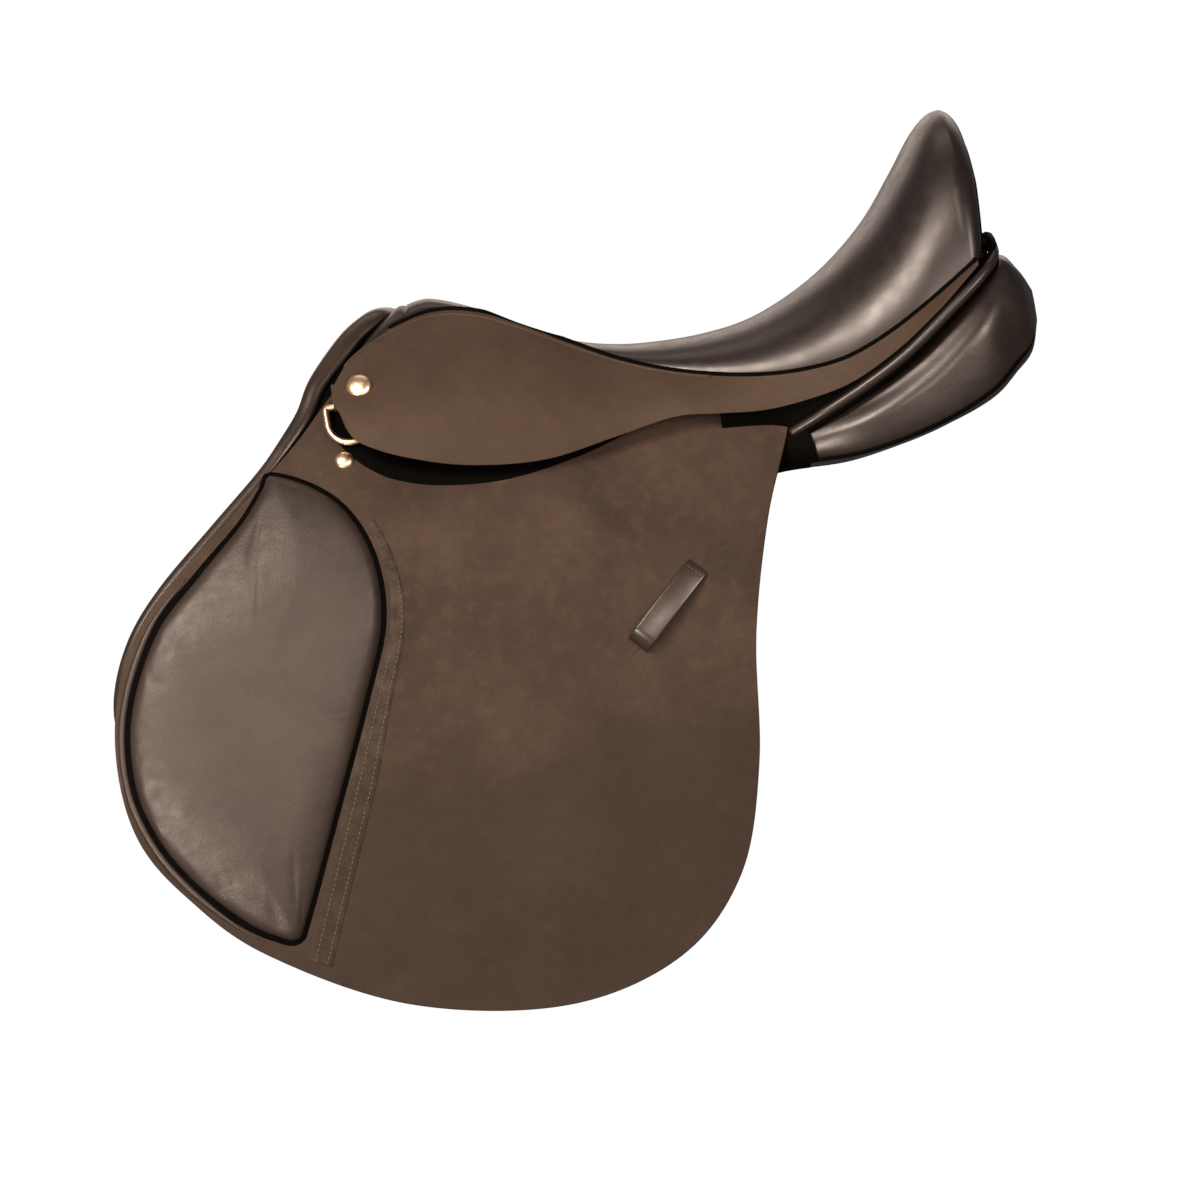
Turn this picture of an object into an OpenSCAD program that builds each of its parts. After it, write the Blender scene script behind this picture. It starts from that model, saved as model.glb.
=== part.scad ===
// English general-purpose saddle, built up as a saddler builds it: a beech and steel spring tree,
// a webbed foam and leather seat, skirts, flaps with knee pads, girth straps and a flocked panel.
// +X runs to the cantle, +Z is up, and the near (left) side is -Y. The origin lies midway between
// the two panels, below the deepest part of the seat. Each pair is drawn on the off side, at +Y,
// and mirrored for the near side.

/* [Seat] */
// Height of the pommel above the origin
pommel_h = 147; // [143:1:149]
// Height of the cantle above the origin
cantle_h = 207; // [203:1:210]
// Thickness of the seat leather
cover_t = 2; // [1.5:0.5:2.5]
// Thickness of the seat foam
foam_t = 13; // [10:0.5:13]

/* [Leather] */
// Thickness of the saddle flaps
flap_t = 4; // [3:0.5:4]
// Thickness of the skirts
skirt_t = 3.2; // [2.4:0.2:3.4]
// Height of the knee pads above the flaps
pad_t = 11; // [8:1:13]
// Thickness of a girth strap
strap_t = 4; // [3:0.5:4]
// Width of a girth strap
strap_w = 25; // [22:1:28]
// Distance between neighbouring girth straps
strap_pitch = 42; // [38:1:44]
// Number of holes in a girth strap
strap_holes = 7; // [5:1:8]

/* [Metal] */
// Radius of the stirrup bar
bar_r = 4; // [3.5:0.25:4]
// Wire radius of a D ring
d_wire_r = 2; // [1.5:0.25:2]
// Radius of a brass nail head
nail_r = 7; // [5:0.5:8]

/* [Hidden] */
SIDES = ["left", "right"];
big = 500;
step = 4;
gap = 0.3;

LEATHER = [0.33, 0.26, 0.22];
SUEDE = [0.38, 0.31, 0.27];
STEEL = [0.62, 0.62, 0.62];
BRASS = [0.85, 0.62, 0.38];
BEECH = [0.76, 0.60, 0.42];
CANVAS = [0.80, 0.76, 0.66];
FOAM = [0.88, 0.83, 0.62];

// Outward position (Y) of the middle of the flap leather at each height (Z), from the arch down
FLAP_YZ = [[0, 141], [28, 135], [47, 123], [58, 110], [72, 80], [94, 40], [112, 0], [123, -40],
    [129, -85], [132, -140], [134, -240], [135, -345]];
// Outward position of the skirt's outer face over the stirrup bar
SKIRT_YZ = [[33, 137], [50, 126], [62, 116], [85, 96], [101, 76], [112, 55], [117, 35], [118.5, 15]];
// Outward position of the middle of a girth strap
STRAP_YZ = [[88, 32], [99, 8], [110, -22], [116, -50], [117, -90], [117, -150], [117, -210],
    [117, -275]];
// Outward position of the middle of the sweat flap
SWEAT_YZ = [[77, 42], [94, 0], [103, -30], [109, -60], [109, -120], [109, -200], [109, -310]];

// Seat, at stations from pommel to cantle: crown height less the pommel's, or less the cantle's
// plus 60 from SEAT_DIP back; then half width and height at the seam
SEAT_DIP = 40;
CROWN = [[-140, -3], [-120, -1], [-90, -13], [-60, -31], [-30, -46], [0, -55], [30, -59], [60, -58],
    [90, -53], [120, -43], [150, -27], [180, -5], [210, 28], [230, 52], [240, 59], [246, 60]];
SEAM_Y = [[-150, 42], [-120, 36], [-90, 41], [-60, 50], [-30, 62], [0, 75], [30, 87], [60, 98],
    [90, 107], [120, 114], [150, 119], [180, 124], [210, 128], [246, 128]];
SEAM_Z = [[-150, 130], [-120, 137], [-90, 132], [-60, 117], [-30, 99], [0, 82], [30, 69], [60, 60],
    [90, 55], [120, 55], [150, 59], [180, 69], [210, 84], [246, 104]];
SEAT_X = [-140, -130, -120, -105, -90, -75, -60, -45, -30, -15, 0, 15, 30, 45, 60, 75, 90, 105, 120,
    135, 150, 165, 180, 195, 210, 220, 230, 240, 246];
SEAT_ACROSS = 16;

// Outlines seen from the side, as [X, Z]
FLAP_XZ = [[-185, 100], [-225, 61], [-275, 19], [-335, -33], [-368, -85], [-377, -145], [-355, -215],
    [-300, -270], [-210, -317], [-110, -337], [-30, -318], [20, -271], [45, -200], [58, -115],
    [80, -38], [105, 22], [98, 37], [40, 48], [-30, 74], [-85, 100], [-130, 109], [-165, 106]];
KNEE_XZ = [[-235, 20], [-200, 6], [-185, -30], [-188, -75], [-215, -140], [-260, -235], [-287, -268],
    [-310, -250], [-350, -205], [-367, -145], [-355, -80], [-320, -32], [-285, 3], [-257, 22]];
LOBE_XZ = [[-190, 92], [-190, 74], [-178, 55], [-150, 41], [-110, 29], [-60, 24], [-10, 31],
    [30, 38], [46, 30], [60, 60], [-60, 90], [-120, 110]];
SWEAT_XZ = [[-205, 35], [-260, -2], [-305, -38], [-335, -80], [-345, -140], [-330, -210], [-260, -270],
    [-160, -300], [-60, -295], [0, -260], [30, -190], [40, -110], [50, -30], [48, 20], [0, 30],
    [-120, 35]];

// Hinge lines of the skirt and the flap, on the off side
SKIRT_HINGE = [[-185, 93, 84], [30, 114, 46]];
FLAP_HINGE = [[-260, 99, 30], [100, 110, 5]];
hinge_gap = 3;

// ---------- curves and solids ----------

// Catmull-Rom point between b and c, at t from 0 to 1
function spline(a, b, c, d, t) = 0.5 * (2 * b + (c - a) * t
    + (2 * a - 5 * b + 4 * c - d) * t * t + (3 * b - a - 3 * c + d) * t * t * t);
// Smooth open curve through pts, with n steps a span
function curve(pts, n = step) = let (k = len(pts) - 1) concat(
    [for (i = [0:k - 1], j = [0:n - 1])
        spline(pts[max(0, i - 1)], pts[i], pts[i + 1], pts[min(k, i + 2)], j / n)], [pts[k]]);
// Smooth closed curve through pts, with n steps a span
function ring(pts, n = step) = let (k = len(pts)) [for (i = [0:k - 1], j = [0:n - 1])
    spline(pts[(i + k - 1) % k], pts[i], pts[(i + 1) % k], pts[(i + 2) % k], j / n)];
function backwards(v) = [for (i = [len(v) - 1:-1:0]) v[i]];
function mean(pts) = [for (p = pts) 1] * pts / len(pts);
function unit(v) = v / norm(v);
// Table of [key, value] made smooth, and looked up
function smooth(table, n = step) = curve(table, n);
function swap(table) = [for (p = table) [p[1], p[0]]];
// Outward position of a [Y, Z] profile at height z
function out_at(profile, z) = lookup(z, swap(curve(profile)));
function out_slope(profile, z) = (out_at(profile, z + 4) - out_at(profile, z - 4)) / 8;

// Closed solid through rings of points, each with the same number of points
module loft(rings) {
    n = len(rings[0]);
    m = len(rings);
    points = concat([for (r = rings) each r], [mean(rings[0]), mean(rings[m - 1])]);
    sides = [for (i = [0:m - 2], j = [0:n - 1]) let (a = i * n + j, b = i * n + (j + 1) % n)
        each [[a, a + n, b], [b, a + n, b + n]]];
    ends = [for (j = [0:n - 1]) let (k = (j + 1) % n)
        each [[j, k, m * n], [(m - 1) * n + k, (m - 1) * n + j, m * n + 1]]];
    polyhedron(points, concat(sides, ends));
}

// Closed solid between two grids of points, with the same rows and columns
module slab(top, under) {
    m = len(top);
    n = len(top[0]);
    low = m * n;
    points = concat([for (r = top) each r], [for (r = under) each r]);
    cells = [for (i = [0:m - 2], j = [0:n - 2]) let (a = i * n + j, b = a + 1, c = a + n, d = c + 1)
        each [[a, b, d], [a, d, c], [low + a, low + d, low + b], [low + a, low + c, low + d]]];
    edges = concat([for (j = [0:n - 2]) [j, j + 1]],
        [for (i = [0:m - 2]) [i * n + n - 1, i * n + 2 * n - 1]],
        [for (j = [n - 1:-1:1]) [low - n + j, low - n + j - 1]],
        [for (i = [m - 1:-1:1]) [i * n, (i - 1) * n]]);
    walls = [for (e = edges) each [[e[0], e[0] + low, e[1]], [e[1], e[0] + low, e[1] + low]]];
    polyhedron(points, concat(cells, walls));
}

// Ring around c, with half sizes a along u and b along v, as an oval of n points
function oval(c, u, v, a, b, n = 12) =
    [for (i = [0:n - 1]) c + u * a * cos(360 * i / n) + v * b * sin(360 * i / n)];
function box_ring(c, u, v, a, b) = [c + u * a + v * b, c - u * a + v * b, c - u * a - v * b, c + u * a - v * b];
function heading(path, i) = unit(path[min(i + 1, len(path) - 1)] - path[max(i - 1, 0)]);

// Band of leather of thickness t along a [Y, Z] profile, run along X from x0 to x1. shift moves
// it outwards, square to the profile.
module band(profile, t, x0, x1, shift = 0, n = step) {
    pts = curve(profile, n);
    side = [for (i = [0:len(pts) - 1]) let (d = heading(pts, i)) [-d[1], d[0]]];
    outer = [for (i = [0:len(pts) - 1]) pts[i] + side[i] * (shift + t / 2)];
    inner = [for (i = [0:len(pts) - 1]) pts[i] + side[i] * (shift - t / 2)];
    translate([x0, 0, 0]) rotate([90, 0, 90])
        linear_extrude(x1 - x0) polygon(concat(outer, backwards(inner)));
}
// Solid whose side view is the [X, Z] outline
module side_cut(outline) {
    translate([0, big, 0]) rotate([90, 0, 0]) linear_extrude(2 * big) polygon(outline);
}
// Everything above (up = 1) or below (up = -1) a hinge line, kept clear by hinge_gap
module half_of(hinge, up) {
    a = hinge[0];
    b = hinge[1];
    slope = (b[2] - a[2]) / (b[0] - a[0]);
    z0 = a[2] + slope * (-big - a[0]) + up * hinge_gap;
    z1 = a[2] + slope * (big - a[0]) + up * hinge_gap;
    side_cut([[-big, z0], [big, z1], [big, up * big], [-big, up * big]]);
}
function hinge_z(hinge, x) = hinge[0][2] + (hinge[1][2] - hinge[0][2]) * (x - hinge[0][0])
    / (hinge[1][0] - hinge[0][0]);

// Draws children on the off side, or mirrored on the near side
module on(side) {
    if (side == "right") children();
    else mirror([0, 1, 0]) children();
}

// ---------- seat ----------

crown_t = smooth(CROWN, 3);
seam_z_t = smooth(SEAM_Z, 3);
seam_y_t = smooth(SEAM_Y, 3);
function crown(x) = let (z = lookup(x, crown_t), k = x < SEAT_DIP ? pommel_h : cantle_h - 60) k + z;
function seam_z(x) = min(lookup(x, seam_z_t), crown(x) - 3);
function seam_y(x) = lookup(x, seam_y_t);
// Height of the seat surface at x, y, drop below the crown, half as much at the seam, and inset
function seat_z(x, y, drop, inset) = let (zs = seam_z(x) - drop / 2, zc = crown(x) - drop)
    zs + (zc - zs) * pow(max(0, 1 - pow(abs(y) / (seam_y(x) - inset), 2.8)), 0.5);
function seat_row(x, drop, inset) = [for (j = [0:SEAT_ACROSS])
    let (y = (seam_y(x) - inset) * sin(-90 + 180 * j / SEAT_ACROSS)) [x, y, seat_z(x, y, drop, inset)]];
module seat_layer(x0, x1, drop0, inset0, drop1, inset1) {
    xs = [for (x = SEAT_X) if (x >= x0 && x <= x1) x];
    slab([for (x = xs) seat_row(x, drop0, inset0)], [for (x = xs) seat_row(x, drop1, inset1)]);
}
web_drop = cover_t + foam_t;
module seat_cover() color(LEATHER) seat_layer(-140, 246, 0, 0, cover_t, cover_t);
module seat_foam() color(FOAM) seat_layer(-130, 246, cover_t, cover_t, web_drop, 9);
// Canvas strained from the head to the cantle, under the foam
function web_row(x, drop) = [for (k = [-2:2])
    let (y = k * min(21, 0.35 * seam_y(x))) [x, y, seat_z(x, y, drop, 10)]];
module seat_web() color(CANVAS) {
    xs = [for (x = SEAT_X) if (x >= -105 && x <= 195) x];
    slab([for (x = xs) web_row(x, web_drop + 1.2)], [for (x = xs) web_row(x, web_drop + 2.7)]);
}
module tree_cantle() color(BEECH) seat_layer(210, 246, web_drop + 2.2, 12, web_drop + 13, 24);

// Leather back of the cantle
module cantle_back() color(LEATHER) {
    rim = [for (p = seat_row(246, 1, 6)) if (p[2] > 104) [p[1], p[2]]];
    translate([246 + gap, 0, 0]) rotate([90, 0, 90]) linear_extrude(7)
        polygon(concat([[-118, 100]], rim, [[118, 100]]));
}

// ---------- tree ----------

// Swept bar of oval or square section along a path, kept upright to the X axis
module arch_sweep(path, half_x, half_t) {
    loft([for (i = [0:len(path) - 1]) let (d = heading(path, i), v = unit(cross([1, 0, 0], d)))
        box_ring(path[i], [1, 0, 0], v, half_x, half_t)]);
}
function both_sides(half) = concat(half, [for (p = backwards(half)) if (p[1] > 0) [p[0], -p[1], p[2]]]);
function arch_path(inset, foot) = both_sides([for (p = curve([[81, 43], [71, 60], [55, 90], [38, 109],
    [18, 117], [0, 119]], 3)) if (p[1] >= foot) let (r = unit([p[0], max(p[1] - 40, 0) + 20]))
    [-133 - 0.35 * (119 - p[1]), p[0] - inset * r[0], p[1] - inset * r[1]]]);
module tree_head() color(BEECH) arch_sweep(arch_path(0, 0), 15, 5);
module head_plate() color(STEEL) arch_sweep(arch_path(7.6, 48), 11, 1.25);

BAR_MID = [[-112, 48, 88], [-60, 54, 72], [0, 60, 51], [60, 68, 44], [120, 74, 50], [196, 82, 78]];
function bar_rings(drop, half_w, half_t) = let (path = curve(BAR_MID, 3), u = unit([0, 1, -0.55]),
    v = unit([0, 0.55, 1])) [for (p = path) box_ring(p - v * drop, u, v, half_w, half_t)];
module tree_bar() color(BEECH) loft(bar_rings(0, 15, 6));
module tree_spring() color(STEEL) loft(bar_rings(7.2, 8, 1));

// ---------- stirrup bar ----------

bar_y = 97.5;
bar_z = 64;
bar_front = -132;
bar_end = -56;
fork_l = 9;
catch_pin_x = bar_end + 5;
catch_pin_r = 1.5;
catch_half = 1.3;
module along_x(r, x0, x1) translate([x0, bar_y, bar_z]) rotate([0, 90, 0]) cylinder(r = r, h = x1 - x0, $fn = 48);
module along_y(x, z, r, y0, y1) translate([x, y1, z]) rotate([90, 0, 0]) cylinder(r = r, h = y1 - y0, $fn = 48);
// Round head of radius r and height h at x, y, z, on a face that leans by slope, Y over Z
module head(x, y, z, slope, r, lift, h) translate([x, y, z]) rotate([-90 - atan(slope), 0, 0])
    translate([0, 0, lift]) cylinder(r = r, h = h, $fn = 48);
module stirrup_bar() color(STEEL) {
    intersection() {
        band(FLAP_YZ, 2.6, bar_front, bar_end + 6, flap_t / 2 + gap + 1.5);
        side_cut([[bar_front, 62], [bar_end + 6, 62], [bar_end + 6, 86], [bar_front, 86]]);
    }
    translate([bar_front, 86, bar_z - bar_r]) cube([9, bar_y - 86, 2 * bar_r]);
    difference() {
        along_x(bar_r, bar_front, bar_end + fork_l);
        translate([bar_end, bar_y - catch_half - gap, bar_z - bar_r - 1])
            cube([fork_l + 1, 2 * (catch_half + gap), 2 * bar_r + 2]);
        along_y(catch_pin_x, bar_z, catch_pin_r, bar_y - 2 * bar_r, bar_y + 2 * bar_r);
    }
}
module catch_pin() color(STEEL) along_y(catch_pin_x, bar_z, catch_pin_r, bar_y - 3.6, bar_y + 3.6);
module bar_catch() color(STEEL) difference() {
    union() {
        along_y(catch_pin_x, bar_z, 3.4, bar_y - catch_half, bar_y + catch_half);
        translate([catch_pin_x, bar_y - catch_half, bar_z - 3.4]) cube([12, 2 * catch_half, 4.4]);
        translate([catch_pin_x + 12, bar_y, bar_z - 1.2]) rotate([90, 0, 0])
            cylinder(r = 2.2, h = 2 * catch_half, center = true, $fn = 48);
    }
    along_y(catch_pin_x, bar_z, catch_pin_r + 0.05, bar_y - 5, bar_y + 5);
}
rivet_x = [-116, -90, -64];
module bar_rivets() color(STEEL) for (side = SIDES, x = rivet_x) on(side)
    head(x, out_at(FLAP_YZ, 78), 78, out_slope(FLAP_YZ, 78), 3, flap_t / 2 + gap + 3, 1.6);

// ---------- flaps ----------

module whole_flap() intersection() {
    band(FLAP_YZ, flap_t, -400, 130);
    side_cut(ring(FLAP_XZ, 3));
    translate([-big, 20, -big]) cube(2 * big);
}
module flap() color(LEATHER) intersection() {
    whole_flap();
    half_of(FLAP_HINGE, -1);
}
module flap_top() color(LEATHER) intersection() {
    whole_flap();
    half_of(FLAP_HINGE, 1);
}
module knee_pad() color(LEATHER) intersection() {
    band(FLAP_YZ, pad_t, -400, 0, flap_t / 2 + pad_t / 2);
    side_cut(ring(KNEE_XZ, 3));
    half_of(FLAP_HINGE, -1);
}
keeper_l = 67;
keeper_w = 17;
module keeper() color(LEATHER) translate([3.5, out_at(FLAP_YZ, -87) + flap_t / 2 + 0.2, -87])
    rotate([4.2, 0, 0]) rotate([0, -42.6, 0]) difference() {
    translate([-keeper_l / 2, 0, -keeper_w / 2]) cube([keeper_l, 9.4, keeper_w]);
    translate([-keeper_l / 2 + 5, 1.6, -keeper_w]) cube([keeper_l - 10, 5.4, 2 * keeper_w]);
}
stud = [-193, 46];
module flap_studs() color(BRASS) for (side = SIDES) on(side) head(stud[0],
    out_at(FLAP_YZ, stud[1]), stud[1], out_slope(FLAP_YZ, stud[1]), 5, flap_t / 2 + gap, 2.5);

// ---------- skirts ----------

// Foot of the fixed part: the hinge line at the front, then the lower edge of the rear band
FOOT = [[30, 37], [60, 34], [90, 32], [120, 32], [150, 36], [180, 50], [210, 71], [246, 101]];
FOOT_Y = [[30, 117], [75, 117], [115, 120], [150, 125], [200, 130], [246, 131]];
ROOT_X = [-186, -183, -178, -170, -160, -150, -135, -120, -105, -90, -70, -50, -30, -10, 10, 29,
    31, 45, 60, 75, 90, 105, 120, 135, 150, 165, 180, 195, 210, 220, 230, 240, 244];
function root_foot(x) = x < 30 ? hinge_z(SKIRT_HINGE, x) + hinge_gap : lookup(x, smooth(FOOT));
function root_foot_y(x) = x < 30 ? out_at(SKIRT_YZ, root_foot(x)) : lookup(x, smooth(FOOT_Y));
FRONT_TOP = [[-186, 96], [-182, 106], [-175, 115], [-165, 123], [-150, 130]];
function root_top(x) = x < -150 ? lookup(x, FRONT_TOP) : lookup(x, seam_z_t);
function root_top_y(x) = max(x < -150 ? out_at(SKIRT_YZ, root_top(x)) : seam_y(x) + gap + skirt_t,
    x < -90 ? out_at(SKIRT_YZ, root_top(x)) : 0);
// Outer face of the fixed part at x, t of the way down from its top to its foot
function root_out(x, t) = let (y1 = root_top_y(x)) y1 + (root_foot_y(x) - y1) * sin(90 * t);
function root_row(x, inset) = let (z0 = root_foot(x), z1 = root_top(x)) [for (i = [0:6])
    [x, root_out(x, i / 6) - inset, z1 + (z0 - z1) * i / 6]];
module skirt_root() color(LEATHER)
    slab([for (x = ROOT_X) root_row(x, skirt_t)], [for (x = ROOT_X) root_row(x, 0)]);
module skirt() color(LEATHER) intersection() {
    band(SKIRT_YZ, skirt_t, -200, 44, -skirt_t / 2);
    side_cut(ring(LOBE_XZ, 3));
    half_of(SKIRT_HINGE, -1);
    side_cut([[-big, -big], [29, -big], [29, big], [-big, big]]);
}
nail = [-174, 99];
module skirt_nails() color(BRASS) for (side = SIDES) on(side) let (x = nail[0],
    h = root_top(x) - root_foot(x), t = (root_top(x) - nail[1]) / h)
    head(x, root_out(x, t), nail[1], (root_out(x, t - 0.1) - root_out(x, t + 0.1)) / (0.2 * h),
        nail_r, 1.4, 3);

// ---------- D rings ----------

d_top = [-185, 80, 84];
d_half = 15;
d_drop = 13;
d_tilt = 24;
// Bent wire loop of the ring, straight along the top
module d_ring() color(BRASS) translate(d_top) rotate([d_tilt, 0, 0]) {
    translate([-d_half, 0, 0]) rotate([0, 90, 0]) cylinder(r = d_wire_r, h = 2 * d_half, $fn = 32);
    for (s = [-1, 1]) translate([s * d_half, 0, -d_drop]) cylinder(r = d_wire_r, h = d_drop, $fn = 32);
    for (s = [-1, 1]) translate([s * d_half, 0, 0]) sphere(r = d_wire_r, $fn = 32);
    translate([0, 0, -d_drop]) rotate([-90, 0, 0]) rotate_extrude(angle = 180, $fn = 64)
        translate([d_half, 0]) circle(r = d_wire_r, $fn = 32);
}
// Leather loop that holds the ring to the flap
module d_chape() color(LEATHER) translate(d_top) rotate([d_tilt, 0, 0]) difference() {
    union() {
        translate([-9, 0, 0]) rotate([0, 90, 0]) cylinder(r = d_wire_r + 2, h = 18, $fn = 48);
        translate([-9, -d_wire_r - 2, 0]) cube([18, d_wire_r + 1.6, 17]);
    }
    translate([-10, 0, 0]) rotate([0, 90, 0]) cylinder(r = d_wire_r + 0.25, h = 20, $fn = 48);
    translate([-10, 0.1, -0.1]) cube([20, d_wire_r + 3, 0.2]);
}

// ---------- girth straps ----------

strap_mid = -68;
strap_foot = -275;
hole_pitch = 25;
hole_r = 2.5;
hole_top = strap_foot + 22 + hole_pitch * (strap_holes - 1);
function strap_x(i) = strap_mid + (i - 2) * strap_pitch;
module girth_strap(i) color(LEATHER) difference() {
    intersection() {
        band(STRAP_YZ, strap_t, strap_x(i) - strap_w / 2, strap_x(i) + strap_w / 2);
        union() {
            along_y(strap_x(i), strap_foot + strap_w / 2, strap_w / 2, 0, 200);
            translate([strap_x(i) - strap_w / 2, 0, strap_foot + strap_w / 2]) cube([strap_w, 200, 400]);
        }
    }
    for (k = [0:strap_holes - 1])
        along_y(strap_x(i), hole_top - k * hole_pitch, hole_r, 0, 200);
}
guard_top = -78;
guard_h = 88;
guard_half = strap_pitch + strap_w / 2 + 1;
guard_wall = 2;
module buckle_guard() color(LEATHER)
    translate([strap_mid, out_at(STRAP_YZ, -100), guard_top - guard_h]) difference() {
    translate([-guard_half - 4, -strap_t / 2 - 0.4 - guard_wall, 0])
        cube([2 * guard_half + 8, strap_t + 0.8 + 2 * guard_wall, guard_h]);
    translate([-guard_half, -strap_t / 2 - 0.4, -1]) cube([2 * guard_half, strap_t + 0.8, guard_h + 2]);
}
// Canvas that joins the straps to the tree's bar
module girth_web() color(CANVAS) {
    xs = [for (x = [-124:10:-4]) x];
    bar = curve(BAR_MID, 3);
    rows = [for (x = xs) let (y = lookup(x, [for (p = bar) [p[0], p[1]]]) + 16,
        z = lookup(x, [for (p = bar) [p[0], p[2]]]) - 7)
        [for (t = [0, 0.5, 1]) [x, y + (81 - y) * t, z + (42 - z) * t]]];
    slab([for (r = rows) r], [for (r = rows) [for (p = r) p + [0, 1.6, 0.6]]]);
}

// ---------- panel ----------

// Right-hand panel sections, as [Y, Z] from the outer top round to the inner top
PANEL = [
    [-196, [[50, 52], [60, 34], [68, 14], [66, 4], [58, 14], [48, 34], [42, 48], [44, 56]]],
    [-180, [[46, 60], [62, 28], [80, 0], [78, -18], [66, -2], [48, 28], [36, 52], [42, 62]]],
    [-140, [[42, 66], [60, 36], [80, 4], [80, -24], [62, -4], [42, 26], [28, 54], [34, 68]]],
    [-90, [[56, 50], [70, 32], [84, 6], [85, -26], [62, -8], [42, 14], [30, 40], [38, 54]]],
    [-40, [[70, 36], [77, 28], [87, 4], [86, -24], [62, -8], [36, 8], [30, 24], [42, 38]]],
    [40, [[75, 29], [81, 20], [86, 2], [84, -18], [64, -6], [36, 8], [30, 20], [46, 31]]],
    [95, [[88, 28], [98, 19], [104, 3], [98, -8], [70, 2], [37, 13], [31, 26], [50, 34]]],
    [150, [[110, 29], [120, 20], [125, 8], [116, -6], [78, 6], [38, 20], [32, 34], [56, 40]]],
    [200, [[116, 52], [127, 40], [131, 26], [121, 2], [78, 12], [40, 27], [34, 44], [60, 54]]],
    [240, [[112, 84], [125, 69], [128, 52], [116, 16], [80, 24], [44, 38], [38, 56], [64, 84]]],
    [262, [[102, 106], [114, 90], [117, 68], [106, 32], [80, 36], [52, 48], [46, 68], [66, 104]]],
    [274, [[94, 95], [104, 84], [106, 68], [98, 44], [80, 44], [60, 54], [55, 68], [70, 93]]],
    [281, [[84, 80], [88, 75], [89, 68], [86, 60], [77, 59], [69, 63], [67, 70], [73, 79]]]];
module panel() color(SUEDE) {
    stations = curve([for (s = PANEL) concat([s[0]], [for (p = s[1]) each p])], 3);
    loft([for (s = stations) let (flat = [for (k = [0:7]) [s[1 + 2 * k], s[2 + 2 * k]]])
        [for (q = ring(flat, 2)) [s[0], q[0], q[1]]]]);
}

ROLL = [[-152, 0, 137], [-157, 22, 135], [-170, 36, 127], [-190, 50, 108], [-211, 62, 82],
    [-229, 73, 60], [-250, 84, 37], [-277, 94, 14], [-311, 105, -15], [-337, 113, -46],
    [-355, 117, -72], [-364, 118, -95], [-367, 118, -120]];
module panel_front_roll() color(LEATHER) {
    path = both_sides(backwards(curve(ROLL, 3)));
    loft([for (i = [0:len(path) - 1]) let (d = heading(path, i), out = unit([0, path[i][1], 40]),
        u = unit(cross(d, out)), v = cross(u, d)) oval(path[i], u, v, 9, 5.5, 10)]);
}
WELT = [[105, 108, 13], [130, 120, 23], [160, 128, 36], [190, 132, 52], [225, 132, 77], [246, 128, 93],
    [257, 118, 104], [259, 100, 113], [259, 68, 118], [259, 0, 120]];
module panel_welt() color(LEATHER) {
    path = both_sides(curve(WELT, 3));
    loft([for (i = [0:len(path) - 1]) let (d = heading(path, i), u = unit(cross(d, [0, 0, 1])),
        v = cross(u, d)) oval(path[i], u, v, 3, 3, 8)]);
}
module sweat_flap() color(SUEDE) intersection() {
    band(SWEAT_YZ, 3, -400, 130);
    side_cut(ring(SWEAT_XZ, 3));
}
KNEE_ROLL = [[-310, 117.5, -80], [-328, 117.5, -115], [-332, 117.5, -150], [-322, 117.5, -190],
    [-300, 117.5, -225], [-270, 117.5, -245]];
module knee_roll() color(SUEDE) {
    path = curve(KNEE_ROLL, 3);
    last = len(path) - 1;
    loft([for (i = [0:last]) let (d = heading(path, i), u = unit(cross(d, [0, 1, 0])),
        k = sin(20 + 140 * i / last)) oval(path[i], u, [0, 1, 0], 15 * k, 6 * k, 12)]);
}

// ---------- nodes ----------

tree_head();
head_plate();
tree_cantle();
bar_rivets();
seat_web();
seat_foam();
seat_cover();
cantle_back();
panel_front_roll();
panel_welt();
skirt_nails();
flap_studs();
for (side = SIDES) {
    on(side) tree_bar();
    on(side) tree_spring();
    on(side) stirrup_bar();
    on(side) catch_pin();
    on(side) bar_catch();
    on(side) girth_web();
    on(side) skirt_root();
    on(side) skirt();
    on(side) flap_top();
    on(side) flap();
    on(side) knee_pad();
    on(side) keeper();
    on(side) d_chape();
    on(side) d_ring();
    on(side) buckle_guard();
    on(side) panel();
    on(side) sweat_flap();
    on(side) knee_roll();
    for (i = [1:3])
        on(side) girth_strap(i);
}
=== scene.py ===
"""English saddle: the looks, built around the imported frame.

Lengths in the tables are in millimetres, as a saddler's pattern would have them, and pass through
MM once. Each pair is made for the off side, at +Y, and mirrored for the near side, at -Y.
The tables follow the CAD model's; at some leather edges they differ from it by up to about 8 mm."""

import math

import bmesh
import bpy
import numpy as np
from mathutils import Matrix, Vector


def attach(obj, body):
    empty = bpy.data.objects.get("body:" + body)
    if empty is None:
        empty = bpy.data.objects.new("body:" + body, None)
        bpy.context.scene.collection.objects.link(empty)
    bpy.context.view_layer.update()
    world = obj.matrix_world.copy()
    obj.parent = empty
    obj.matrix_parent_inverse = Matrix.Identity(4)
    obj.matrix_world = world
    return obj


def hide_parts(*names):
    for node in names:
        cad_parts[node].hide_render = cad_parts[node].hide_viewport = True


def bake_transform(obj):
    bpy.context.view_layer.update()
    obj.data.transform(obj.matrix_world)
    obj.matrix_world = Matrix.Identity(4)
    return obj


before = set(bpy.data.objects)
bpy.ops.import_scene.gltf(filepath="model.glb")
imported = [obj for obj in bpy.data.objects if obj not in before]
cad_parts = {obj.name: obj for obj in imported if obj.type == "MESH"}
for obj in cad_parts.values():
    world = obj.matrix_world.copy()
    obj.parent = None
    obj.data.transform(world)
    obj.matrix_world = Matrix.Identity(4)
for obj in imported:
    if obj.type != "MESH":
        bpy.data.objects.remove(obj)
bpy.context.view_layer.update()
MM = 0.001
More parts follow.
